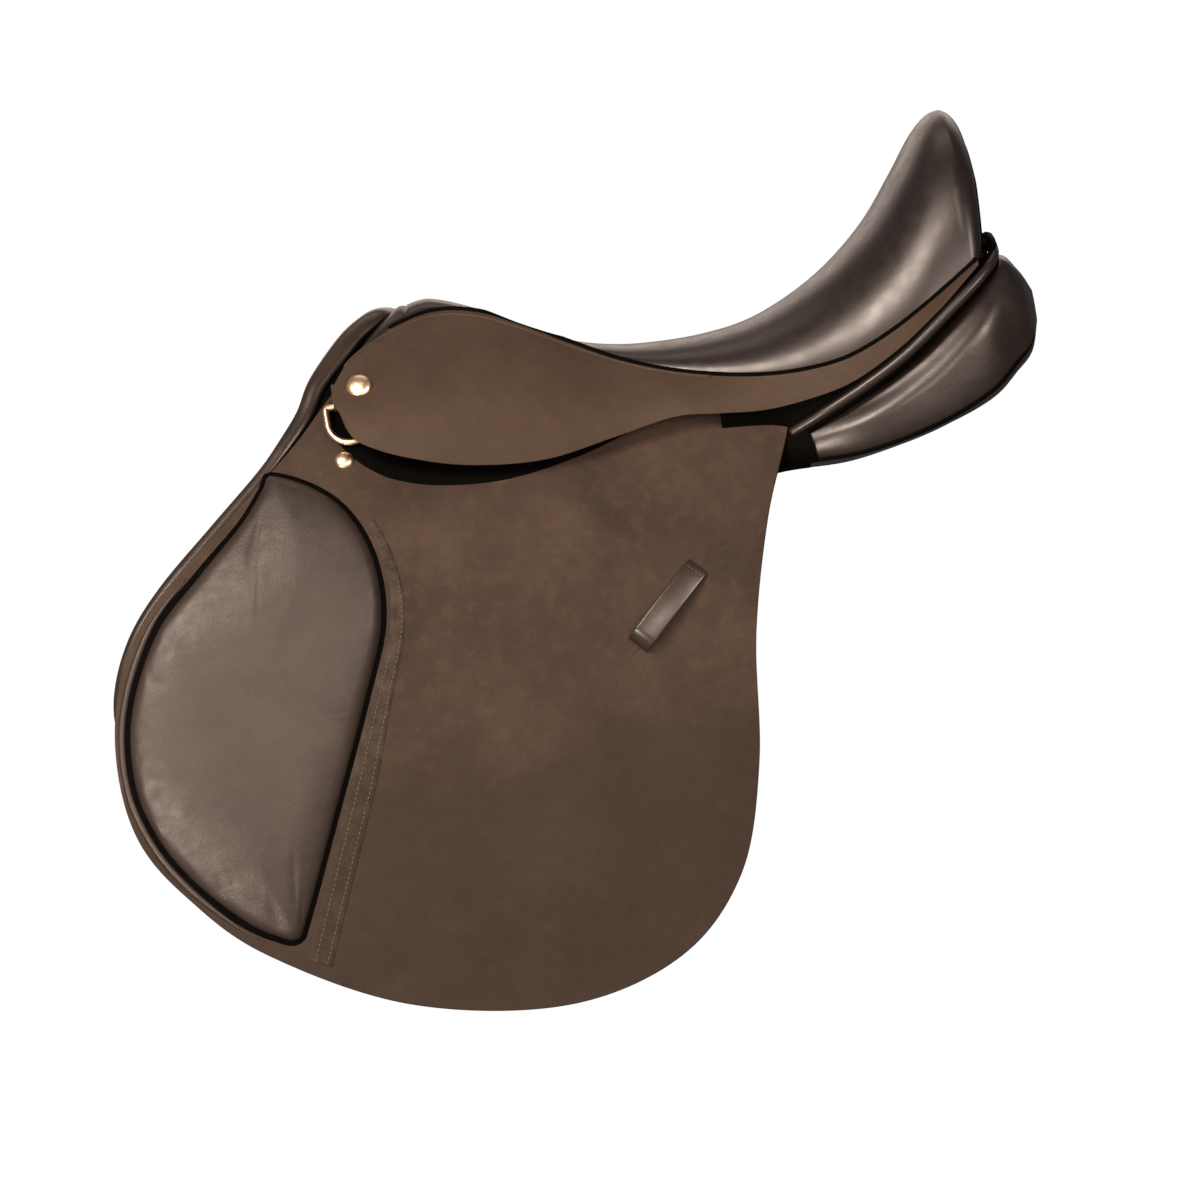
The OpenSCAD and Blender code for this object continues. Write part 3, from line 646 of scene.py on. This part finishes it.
def build_seat():
    """Seat leather, turned under at its edges, with a dark welt along each seam."""
    grid = seat_grid()
    seat = grid_mesh("seat_leather", grid, SEAT, facing=UP)
    thicken(seat, 2.2, 0.9)
    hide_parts("seat_cover")
    fix(seat)
    for word, (_, side) in SIDES.items():
        x = np.linspace(-150, REAR_X, 160)
        path = np.stack([x, seam_y(x) + 1.4, np.minimum(seam_z(x), crown_z(x) - 3) + 0.8], 1)
        welt = tube("seat_welt_" + word, path, 2.1, DARK, side, sides=10)
        fix(welt)
    build_cantle_back(grid[-1])


def build_cantle_back(rim):
    """Leather over the back of the cantle, inside the seat's turned edge."""
    centre = np.array([249, 0, 118.0])
    rows = []
    for k, out in ((1.005, -1.2), (0.985, 0.2), (0.95, 1.0), (0.85, 1.6), (0.7, 2.0), (0.5, 2.2),
                   (0.3, 2.2), (0.05, 2.2)):
        p = centre + (rim - centre) * k
        p[:, 2] = np.maximum(p[:, 2], 99)
        p[:, 0] = 244.5 + (rim[:, 0] - 247) * (0.35 + 0.65 * k) + out
        rows.append(p)
    back = grid_mesh("cantle_back_leather", rows, SKIRT, facing=BACK)
    thicken(back, 2.0, 0.7)
    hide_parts("cantle_back")
    fix(back)
    edge = tube("cantle_piping", rim[3:-3] * [1, 0.975, 1] + [-0.6, 0, -2.5], 1.7, DARK, sides=10,
                up=[1, 0, 0])
    fix(edge)
    corner = both_halves([[252, 0, 106], [252, 90, 106], [249, 112, 105], [246, 123, 103],
                          [240, 127, 99]])
    bind = tube("cantle_corner_binding", corner, 3.4, DARK, sides=10)
    fix(bind)


# ---------- skirts ----------


def skirt_out(x, z, top_z, low_z):
    """Outward position of the skirt's face: out from the seam, then down over the bar."""
    over = skirt_y(top_z)
    top_y = np.where(x < -150, over, seam_y(x) + 3.5)
    top_y = np.where(x < -90, np.maximum(top_y, over), top_y)
    low_y = np.where(x < 30, skirt_y(low_z), skirt_low_y(x))
    t = np.clip((top_z - z) / np.maximum(top_z - low_z, 1), 0, 1)
    return top_y + (low_y - top_y) * np.sin(t * math.pi / 2)


def soften(grid, passes):
    """Smooths a grid of values, edges left where they are."""
    for _ in range(passes):
        grid[1:-1, 1:-1] = (grid[1:-1, 1:-1] * 2 + grid[:-2, 1:-1] + grid[2:, 1:-1]
                            + grid[1:-1, :-2] + grid[1:-1, 2:]) / 6
    return grid


def build_skirt(word, tag, side):
    """Skirt leather from the seat's seam down over the stirrup bar, and its turned top edge."""
    cols, rows = 190, 44
    top = curve(SKIRT_TOP, cols)
    low = curve(SKIRT_LOW, cols)
    t = np.linspace(0, 1, rows)[:, None]
    x = top[:, 0] * (1 - t) + low[:, 0] * t
    z = top[:, 1] * (1 - t) + low[:, 1] * t
    x = x - 5 * np.sin(t * math.pi) * np.clip(1 - np.arange(cols) / 14, 0, 1) ** 2
    top_at = np.interp(x, top[:, 0], top[:, 1])
    low_at = np.interp(x, low[:, 0], low[:, 1])
    y = soften(skirt_out(x, z, top_at, low_at), 16)
    skin = grid_mesh("skirt_leather_" + word, np.stack([x, y, z], -1), SKIRT, side, facing=OUT)
    thicken(skin, 3.2, 1.5)
    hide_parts("skirt_root_" + tag, "skirt_" + tag)
    hinge_blend(skin, SKIRT_HINGE)
    edge = np.stack([x[1, 4:110], y[1, 4:110], z[1, 4:110]], 1) + [0, 0.2, -0.4]
    turned = tube("skirt_turned_edge_" + word, edge, 1.3, SKIRT, side, sides=8)
    fix(turned)


def build_facing(word, side):
    """Strip of seat leather between the pommel, the front roll and the skirt's edge."""
    outer = curve([[-144, 0, 144], [-147, 20, 142], [-160, 38, 131], [-178, 53, 113],
                   [-189, 67, 98]], 70)
    inner = curve([[-133, 0, 144], [-134, 18, 143], [-139, 38, 136], [-165, 55, 119],
                   [-184, 70, 99]], 70)
    bulge = np.array([0, 0.75, 0.6])
    rows = [outer + (inner - outer) * t + bulge * 4.0 * math.sin(t * math.pi)
            for t in np.linspace(0, 1, 9)]
    skin = grid_mesh("pommel_facing_" + word, rows, SEAT, side, facing=OUT)
    thicken(skin, 2.0, 0.6)
    fix(skin)


# ---------- flaps ----------


def build_flap(word, tag, side):
    """Flap leather, and a black piece on it under the skirt's lower edge that paints the skirt's
    shadow.
    """
    outline = curve(FLAP_XZ, 280, 12, closed=True)
    radii = np.r_[1, 0.996, 0.99, 0.98, np.linspace(0.965, 0.04, 44)]
    flap = star_mesh("flap_leather_" + word, outline, [-130, -110], radii, flap_y, 2.0, FLAP, side)
    thicken(flap, 4.2, 1.6)
    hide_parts("flap_" + tag, "flap_top_" + tag)
    on_flap(flap)
    # black piece under the skirt's lower edge: painted shadow of the skirt on the flap
    shape = curve(SKIRT_SHADOW_XZ, 120, closed=True)
    skirt_shadow = star_mesh("flap_painted_shadow_" + word, shape, [-95, 45],
                     np.r_[1, np.linspace(0.96, 0.05, 16)], flap_y, 2.3, DARK, side)
    thicken(skirt_shadow, 1.2, 0.3)
    on_flap(skirt_shadow)


def offset_ring(outline, distance):
    """A closed [X, Z] outline moved outwards by a distance, or inwards where it is negative."""
    d = unit(np.roll(outline, -1, 0) - np.roll(outline, 1, 0))
    n = np.stack([d[:, 1], -d[:, 0]], 1)
    x, z = outline.T
    area = (x * np.roll(z, -1) - z * np.roll(x, -1)).sum()
    return outline + n * distance * np.sign(area)


def pad_skin(outline, name, material, side):
    """Crowned pad with a rounded rim, standing on the flap."""
    radii = np.r_[1, 0.995, 0.988, 0.978, 0.965, np.linspace(0.95, 0.03, 42)]

    def crown(edge):
        rim = np.sqrt(np.clip(1 - (1 - np.clip(edge / 9, 0, 1)) ** 2, 0, 1))
        return 1.6 + 7.4 * rim + 5.0 * (1 - np.exp(-edge / 24))

    return star_mesh(name, outline, [-283, -112], radii, flap_y, crown, material, side)


def build_knee_pad(word, tag, side):
    """Knee pad with a black strip painted as the shade in the groove round it, the lip round it,
    and the sewn band behind it.
    """
    outline = curve(PAD_XZ, 240, 12, closed=True)
    pad = pad_skin(outline, "knee_pad_leather_" + word, PAD, side)
    inflate(pad, "knee_pad", side, range(len(outline) * 3), 3.2)
    thicken(pad, 1.6, 0.5)
    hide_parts("knee_pad_" + tag)
    on_flap(pad)
    # black strip round the pad's edge: painted shade in the groove between pad and flap
    count = len(outline)
    wide = 3.2 + 2.6 * np.clip(np.sin(np.linspace(0, 2 * math.pi, count) + 3.4), 0, 1)
    step = offset_ring(outline, 1) - outline
    rows = [on_band(flap_y, outline + step * (wide * k)[:, None], lift)[0][np.r_[0:count, 0]]
            for k, lift in ((-0.8, 2.3), (-0.3, 2.5), (0.3, 2.45), (0.8, 2.35), (1, 1.9))]
    dark = grid_mesh("pad_groove_shade_" + word, rows, DARK, side, facing=OUT)
    on_flap(dark)
    rim, n = on_band(flap_y, offset_ring(outline, 5.6)[122:212], 2.2)
    taper = np.clip(np.sin(np.linspace(0.02, math.pi - 0.02, len(rim))) * 1.6, 0.03, 1) ** 0.7
    lip = tube("pad_lip_" + word, rim, 2.4, PAD, side, sides=12, taper=taper)
    on_flap(lip)
    seam = curve(PAD_SEAM, 150)
    d = unit(np.gradient(seam, axis=0))
    back = np.stack([-d[:, 1], d[:, 0]], 1)
    width = 6 + 11 * np.clip((np.arange(len(seam)) - 30) / 70, 0, 1) ** 1.2
    grid = []
    for k, lift in ((-0.1, 1.7), (0.02, 2.5), (0.12, 2.9), (0.3, 2.8), (0.6, 2.75), (0.88, 2.7),
                    (0.96, 2.4), (1, 1.9)):
        grid.append(on_band(flap_y, (seam + back * (width * k)[:, None])[30:], lift)[0])
    band = grid_mesh("pad_band_" + word, grid, BAND, side, facing=OUT)
    thicken(band, 0.7, 0.2)
    on_flap(band)
    for row, share in enumerate((0.3, 0.78)):
        first = 64 if row == 0 else 46
        along = seam[first:] + back[first:] * (width[first:] * share)[:, None]
        line, n = on_band(flap_y, along, 2.8)
        st = stitch_row(f"pad_stitches_{row}_{word}", line, n, THREAD, side)
        on_flap(st)


def build_keeper(word, tag, side):
    """Leather loop on the flap, its ends let in and sewn."""
    a, b = np.array([-21, -109.0]), np.array([28, -64.0])
    along = unit(b - a)
    wide = np.array([-along[1], along[0]])
    mid = (a + b) / 2
    u = np.linspace(-33.5, 33.5, 48)
    near_end = np.clip((u + 33.5) / 10, 0, 1)
    far_end = np.clip((33.5 - u) / 46, 0, 1)
    arch = 2.4 + 8.0 * np.sin(near_end * math.pi / 2) ** 0.8 * np.sin(far_end * math.pi / 2) ** 0.7
    rows = []
    for v in np.linspace(-8, 8, 11):
        flat = mid + along * u[:, None] + wide * v
        rows.append(on_band(flap_y, flat, arch + 0.5 * (1 - (v / 8) ** 2))[0])
    loop = grid_mesh("keeper_leather_" + word, rows, STRAP, side, facing=OUT)
    thicken(loop, 2.2, 0.8)
    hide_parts("keeper_" + tag)
    fix(loop, word + "_flap")
    for end in (-1, 1):
        t = np.linspace(-4, 20, 30)
        flat = mid + along * (end * (33 + t))[:, None]
        path, n = on_band(flap_y, flat, 1.7)
        mark = tube(f"keeper_tongue_{'ab'[end > 0]}_{word}", path, 3.0, FLAP, side, sides=10,
                    flat=0.3, up=n, taper=np.linspace(1, 0.15, 30))
        fix(mark, word + "_flap")
        flat = mid + along * (end * 28.5) + wide * np.linspace(-6, 6, 12)[:, None]
        line, n = on_band(flap_y, flat, 6.4)
        st = stitch_row(f"keeper_stitches_{'ab'[end > 0]}_{word}", line, n, THREAD, side, pitch=2.8,
                        length=2.0)
        fix(st, word + "_flap")


# ---------- metal trim ----------


def lathe(name, profile, at, axis, material, side):
    """Turned piece: profile is [radius, height] along axis from at."""
    n = unit(axis)
    u = unit(np.cross(n, [1, 0, 0]))
    w = np.cross(n, u)
    ang = circle(48)
    grid = [[np.array(at) + n * h + (u * math.cos(q) + w * math.sin(q)) * r for q in ang]
            for r, h in profile]
    return grid_mesh(name, grid, material, side, wrap=True, caps=True)


def build_nails(word, side):
    """Brass head nail through the skirt, and the smaller stud on the flap."""
    head = [[8.6, -1.5], [9.0, 0], [8.9, 0.9], [8.5, 1.7], [7.6, 2.5], [6.2, 3.2], [4.4, 3.8],
            [2.2, 4.2], [0.2, 4.3]]
    x, z = -175, 94
    y = skirt_out(np.array([x]), np.array([z]), np.array([114.0]), np.array([55.0]))[0]
    nail = lathe("head_nail_" + word, [[r * 0.98, h] for r, h in head], [x, y + 0.2, z],
                 [-0.12, 0.9, 0.42], BRASS, side)
    fix(nail)
    p, n = on_band(flap_y, [[-193, 46]], 2.2)
    stud = lathe("flap_stud_" + word, [[r * 0.74, h * 0.9] for r, h in head], p[0], n[0], BRASS,
                 side)
    fix(stud)
    return nail, stud


def build_d_ring(word, tag, side):
    """Bent brass wire, flat at its top where the chape holds it."""
    ang = np.linspace(0, math.pi, 33)
    corner = [[-15, -2], [-14.4, -0.6], [-13, 0], [0, 0], [13, 0], [14.4, -0.6], [15, -2]]
    loop = np.array(corner + [[15 * math.cos(a), -13 - 15 * math.sin(a)] for a in ang])
    loop = resample(loop, 120, closed=True)
    q = math.radians(D_TILT)
    path = np.stack([loop[:, 0], -loop[:, 1] * math.sin(q), loop[:, 1] * math.cos(q)], 1) + D_TOP
    path = np.vstack([path, path[:2]])
    ring = tube("d_ring_wire_" + word, path, 2.3, BRASS, side, sides=16,
                up=[0, math.cos(q), math.sin(q)], caps=False)
    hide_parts("d_ring_" + tag)
    fix(ring, word + "_d_ring")


# ---------- panel ----------


def panel_rings(steps=10, around=6):
    """The panel's sections, smoothed along it and round it."""
    flat = spline([[s[0]] + [c for p in s[1] for c in p] for s in PANEL], steps)
    out = []
    for row in flat:
        ring = spline(row[1:].reshape(8, 2), around, closed=True)
        out.append(np.c_[np.full(len(ring), row[0]), ring])
    return np.array(out)


def build_panel(word, tag, side):
    """Stuffed panel with its seams, and a black patch behind the flap's rear edge that paints the
    flap's shadow on the panel.
    """
    rings = panel_rings()
    body = grid_mesh("panel_leather_" + word, rings, PANEL_HIDE, side, wrap=True, caps=True)
    count, around = rings.shape[:2]
    seams = (0, 1, 2, 16, 17, 18, 23, 24, 25, 40, 44, 47)  # places round a ring that don't swell
    held = [i * around + j for i in range(count) for j in range(around)
            if i < 4 or i > count - 5 or rings[i, 0, 0] < 126 or j in seams]
    inflate(body, "panel", side, held, 4.0)
    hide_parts("panel_" + tag)
    fix(body)
    for name, at in (("gusset", 17), ("inner", 24)):
        line = rings[8:-6, at % around]
        out = unit(line - rings[8:-6].mean(1))
        ends = np.clip((len(line) - np.arange(len(line))) / 14, 0.15, 1)
        seam = tube(f"panel_{name}_seam_{word}", line + out * 0.2, 1.4, DARK, side, sides=8,
                    taper=ends)
        fix(seam)
    # black patch on the panel behind the flap's rear edge: painted shadow of the flap
    cols = 22  # from the top of a ring round its outer face
    part = rings[(rings[:, 0, 0] > 70) & (rings[:, 0, 0] < 119), :cols]
    outward = unit(np.cross(np.gradient(part, axis=1), BACK))
    outward = outward * np.sign(outward[:, :, 1].mean())
    stand = np.interp(np.arange(cols), [0, 12, cols - 1], [3.2, 3.2, 0.4])
    shape = part + outward * stand[None, :, None]
    shape[:, :, 0] += np.linspace(-6, 4, cols)[None, :] * np.linspace(0, 1, len(part))[:, None]
    flap_shadow_patch = grid_mesh("panel_flap_shadow_" + word, shape, DARK, side, facing=OUT)
    thicken(flap_shadow_patch, 1.2, 0.3)
    fix(flap_shadow_patch)


def build_gap_shade(word, side):
    """Black sheet in the gap between the skirt's edge and the panel, painted shade of that gap."""
    top = curve([[60, 113, 38], [90, 113, 36], [120, 115, 36], [150, 120, 40], [180, 125, 54],
                 [210, 127, 75], [240, 123, 97], [254, 105, 106], [256, 70, 112],
                 [256, 0, 113]], 120, 8)
    low = curve([[60, 92, 6], [90, 98, 6], [120, 113, 14], [150, 122, 26], [180, 127, 42],
                 [210, 128, 62], [240, 122, 84], [252, 102, 98], [253, 70, 103],
                 [253, 0, 104]], 120, 8)
    rows = [top + (low - top) * t for t in np.linspace(0, 1, 8)]
    # black sheet: painted shade in the gap between skirt and panel
    skin = grid_mesh("panel_gap_shade_" + word, rows, DARK, side, facing=OUT)
    thicken(skin, 1.6, 0.4)
    fix(skin)


def both_halves(points, steps=8):
    """A path given for the off side, carried across the middle to the near side."""
    half = spline(points, steps)
    if abs(half[0][1]) < abs(half[-1][1]):
        half = half[::-1]
    return np.vstack([half, (half * [1, -1, 1])[::-1][1:]])


def build_roll():
    """Rolled front edge and the piping round the rear, each one piece across both sides."""
    path = both_halves(ROLL)
    out = unit(np.stack([0 * path[:, 0], path[:, 1], np.full(len(path), 40.0)], 1))
    ends = np.clip(np.minimum(np.arange(len(path)), np.arange(len(path))[::-1]) / 6, 0.2, 1) ** 0.5
    wide = np.interp(-path[:, 0], [-row[0] for row in ROLL_WIDTH], [row[1] for row in ROLL_WIDTH])
    roll = tube("panel_edge_roll", path, 1.0, STRAP, sides=24, flat=0.72, up=out, taper=ends * wide)
    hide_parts("panel_front_roll")
    fix(roll)
    d = unit(np.gradient(path, axis=0))
    inward = unit(np.cross(d, out))
    inward = inward * np.sign(inward[:, :1])
    line = tube("panel_edge_piping", path + inward * (wide[:, None] - 0.6) + out * 1.0, 1.5, DARK,
                sides=8)
    fix(line)
    # black strip behind the gap between the front roll and the flap: painted shade of that gap
    for word, (_, side) in SIDES.items():
        flat = curve(GAP_XZ, 60)
        gap_shade_path = on_band(flap_y, flat, -5.0)[0]
        strip = tube("front_gap_shade_" + word, gap_shade_path, 8.0, DARK, side, sides=12, flat=0.2,
                     up=on_band(flap_y, flat)[1])
        fix(strip)
    path = both_halves(WELT)
    welt = tube("panel_piping", path, 3.5, PANEL_HIDE, sides=14)
    # black tubes above and below the piping: painted shade of the gaps each side of it
    for name, drop in (("upper", 3.4), ("lower", -4.0)):
        piping_shade = tube("panel_piping_shade_" + name, path * [1, 0.975, 1] + [0, 0, drop], 3.0, DARK,
                   sides=8)
        fix(piping_shade)
    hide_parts("panel_welt")
    fix(welt)


def build_sweat_flap(word, tag, side):
    """Sweat flap, its stitching and the knee roll on it."""
    outline = curve(SWEAT_XZ, 200, closed=True)
    radii = np.r_[1, 0.99, 0.975, np.linspace(0.95, 0.05, 24)]
    skin = star_mesh("sweat_flap_leather_" + word, outline, [-140, -130], radii, sweat_y, 1.5,
                     STRAP, side)
    thicken(skin, 3.0, 1.2)
    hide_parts("sweat_flap_" + tag)
    fix(skin)
    line = offset_ring(outline, -6)
    for face, lift in (("outer", 1.4), ("inner", -1.6)):
        path, n = on_band(sweat_y, line[8:150], lift)
        st = stitch_row(f"sweat_flap_stitches_{face}_{word}", path, n if lift > 0 else -n, THREAD,
                        side, pitch=4.0, length=3.0, r=0.5)
        fix(st)
    rings, sides = 60, 24
    path = curve(KNEE_ROLL, rings)
    k = np.sin(np.radians(np.linspace(12, 168, rings))) ** 0.7
    roll = tube("knee_roll_leather_" + word, path, 14, PANEL_HIDE, side, sides=sides, flat=0.38,
                up=OUT, taper=k)
    ends = [*range(sides * 2), *range(sides * (rings - 2), sides * rings)]
    inflate(roll, "knee_roll", side, ends, 2.0)
    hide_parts("knee_roll_" + tag)
    fix(roll)


# ---------- CAD pieces kept, with their edges eased ----------


def eased(node, name, body, material, width=0.6):
    """Copy of a CAD piece with its edges rounded and its flat faces kept flat."""
    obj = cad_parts[node].copy()
    obj.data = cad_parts[node].data.copy()
    obj.name = name
    obj.parent = None
    obj.matrix_world = Matrix.Identity(4)
    for key in list(obj.keys()):
        del obj[key]
    bpy.context.scene.collection.objects.link(obj)
    work = bmesh.new()
    work.from_mesh(obj.data)
    bmesh.ops.remove_doubles(work, verts=work.verts, dist=1e-6)
    bmesh.ops.dissolve_limit(work, angle_limit=math.radians(2), verts=work.verts, edges=work.edges)
    work.to_mesh(obj.data)
    work.free()
    obj.data.materials.clear()
    obj.data.materials.append(material)
    round_edges(obj, width, 2, 40)
    smooth = obj.modifiers.new("flat_faces", "WEIGHTED_NORMAL")
    smooth.weight = 100
    apply_modifiers(obj)
    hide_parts(node)
    fix(obj, body)
    return obj


def paint(node, material):
    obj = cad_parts[node]
    obj.data.materials.clear()
    obj.data.materials.append(material)


def dress_cad():
    """Materials for the CAD pieces that stay, and eased copies of the straps and steel."""
    for node in ("tree_head", "tree_cantle", "tree_bar_left", "tree_bar_right"):
        paint(node, BEECH)
    for node in ("head_plate", "tree_spring_left", "tree_spring_right", "bar_rivets",
                 "catch_pin_left", "catch_pin_right"):
        paint(node, STEEL)
    paint("seat_foam", FOAM)
    for node in ("seat_web", "girth_web_left", "girth_web_right"):
        paint(node, CANVAS)
    for word, (tag, _) in SIDES.items():
        for i in (1, 2, 3):
            eased(f"girth_strap_{tag}_{i}", f"girth_strap_{word}_{i}", word + "_straps", STRAP,
                  1.0)
        eased("buckle_guard_" + tag, "buckle_guard_" + word, word + "_guard", STRAP,
              0.8)
        eased("d_chape_" + tag, "d_ring_chape_" + word, "saddle", STRAP, 0.5)
        eased("stirrup_bar_" + tag, "stirrup_bar_" + word, "saddle", STEEL, 0.5)
        eased("bar_catch_" + tag, "bar_catch_" + word, word + "_catch", STEEL, 0.3)


# ---------- camera and light ----------


def build_camera():
    """Near side, square on, from well back; the saddle is tipped 10 degrees nose down."""
    distance, width, tip = 5.0, 0.806, math.radians(10)
    aim = Vector((-0.0405, 0, -0.0747))
    data = bpy.data.cameras.new("camera")
    data.sensor_width = 36
    data.lens = 36 * (distance - 0.08) / width
    data.clip_end = 50
    cam = bpy.data.objects.new("camera", data)
    bpy.context.scene.collection.objects.link(cam)
    up = Vector((math.sin(tip), 0, math.cos(tip)))
    view = Vector((0, 1, 0))
    right = view.cross(up)
    cam.matrix_world = Matrix((
        (right.x, up.x, -view.x, aim.x), (right.y, up.y, -view.y, -distance),
        (right.z, up.z, -view.z, aim.z), (0, 0, 0, 1)))
    bpy.context.scene.camera = cam


def area_light(name, at, look, size, power, colour):
    data = bpy.data.lights.new(name, "AREA")
    data.shape = "RECTANGLE"
    data.size, data.size_y = size
    data.energy = power
    data.color = colour
    obj = bpy.data.objects.new(name, data)
    obj.location = at
    obj.rotation_euler = (Vector(look) - Vector(at)).to_track_quat("-Z", "Y").to_euler()
    bpy.context.scene.collection.objects.link(obj)


def white_for_camera(tree, other, kind):
    """White where the camera sees it, and dimmer in what it lights."""
    path = tree.nodes.new("ShaderNodeLightPath")
    mix = tree.nodes.new("ShaderNodeMixShader")
    tree.links.new(path.outputs["Is Camera Ray"], mix.inputs[0])
    tree.links.new(other.outputs[0], mix.inputs[1])
    seen = tree.nodes.new(kind)
    seen.inputs["Color"].default_value = (1, 1, 1, 1)
    tree.links.new(seen.outputs[0], mix.inputs[2])
    return mix


def build_stage():
    """White ground and background, and the softboxes."""
    world = bpy.data.worlds.new("world")
    bpy.context.scene.world = world
    world.use_nodes = True
    tree = world.node_tree
    dim = tree.nodes["Background"]
    dim.inputs["Color"].default_value = (1, 1, 1, 1)
    dim.inputs["Strength"].default_value = 0.12
    mix = white_for_camera(tree, dim, "ShaderNodeBackground")
    tree.links.new(mix.outputs[0], tree.nodes["World Output"].inputs["Surface"])
    mat = bpy.data.materials.new("floor_white")
    mat.use_nodes = True
    shader = mat.node_tree.nodes["Principled BSDF"]
    shader.inputs["Base Color"].default_value = (0.24, 0.235, 0.23, 1)
    shader.inputs["Roughness"].default_value = 0.9
    mix = white_for_camera(mat.node_tree, shader, "ShaderNodeEmission")
    floor_tree = mat.node_tree
    floor_tree.links.new(mix.outputs[0], floor_tree.nodes["Material Output"].inputs["Surface"])
    corners = [[x * FLOOR_REACH, y * FLOOR_REACH, FLOOR_Z]
               for x, y in ((-1, -1), (1, -1), (1, 1), (-1, 1))]
    floor = make("floor", corners, [(0, 1, 2, 3)], mat, smooth=False)
    warm, amber = (1, 0.92, 0.85), (1, 0.83, 0.72)
    area_light("key_softbox", (-1.1, -1.8, 1.25), (0.1, 0, 0.05), (1.0, 0.8), 62, warm)
    area_light("top_softbox", (0.1, 0.4, 2.0), (0, 0, 0), (1.6, 0.9), 5, amber)
    area_light("back_softbox", (0.1, 1.9, 1.1), (0, 0, 0), (2.4, 1.0), 10, amber)
    area_light("camera_softbox", (0.2, -3.0, 0.3), (0, 0, -0.05), (0.8, 0.6), 17, warm)
    area_light("side_softbox", (1.4, -2.1, 0.4), (0.1, 0, 0), (1.0, 0.8), 30, warm)
    area_light("low_softbox", (-0.8, -1.0, -0.3), (0, 0, -0.05), (0.4, 0.24), 9, warm)


build_camera()
build_stage()
build_seat()
build_roll()
for word, (tag, side) in SIDES.items():
    build_facing(word, side)
    build_skirt(word, tag, side)
    build_flap(word, tag, side)
    build_knee_pad(word, tag, side)
    build_keeper(word, tag, side)
    build_d_ring(word, tag, side)
    build_panel(word, tag, side)
    build_gap_shade(word, side)
    build_sweat_flap(word, tag, side)
    nail, stud = build_nails(word, side)
    if word == "near":
        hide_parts("skirt_nails")
        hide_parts("flap_studs")
dress_cad()
bpy.context.scene.view_settings.view_transform = "Standard"
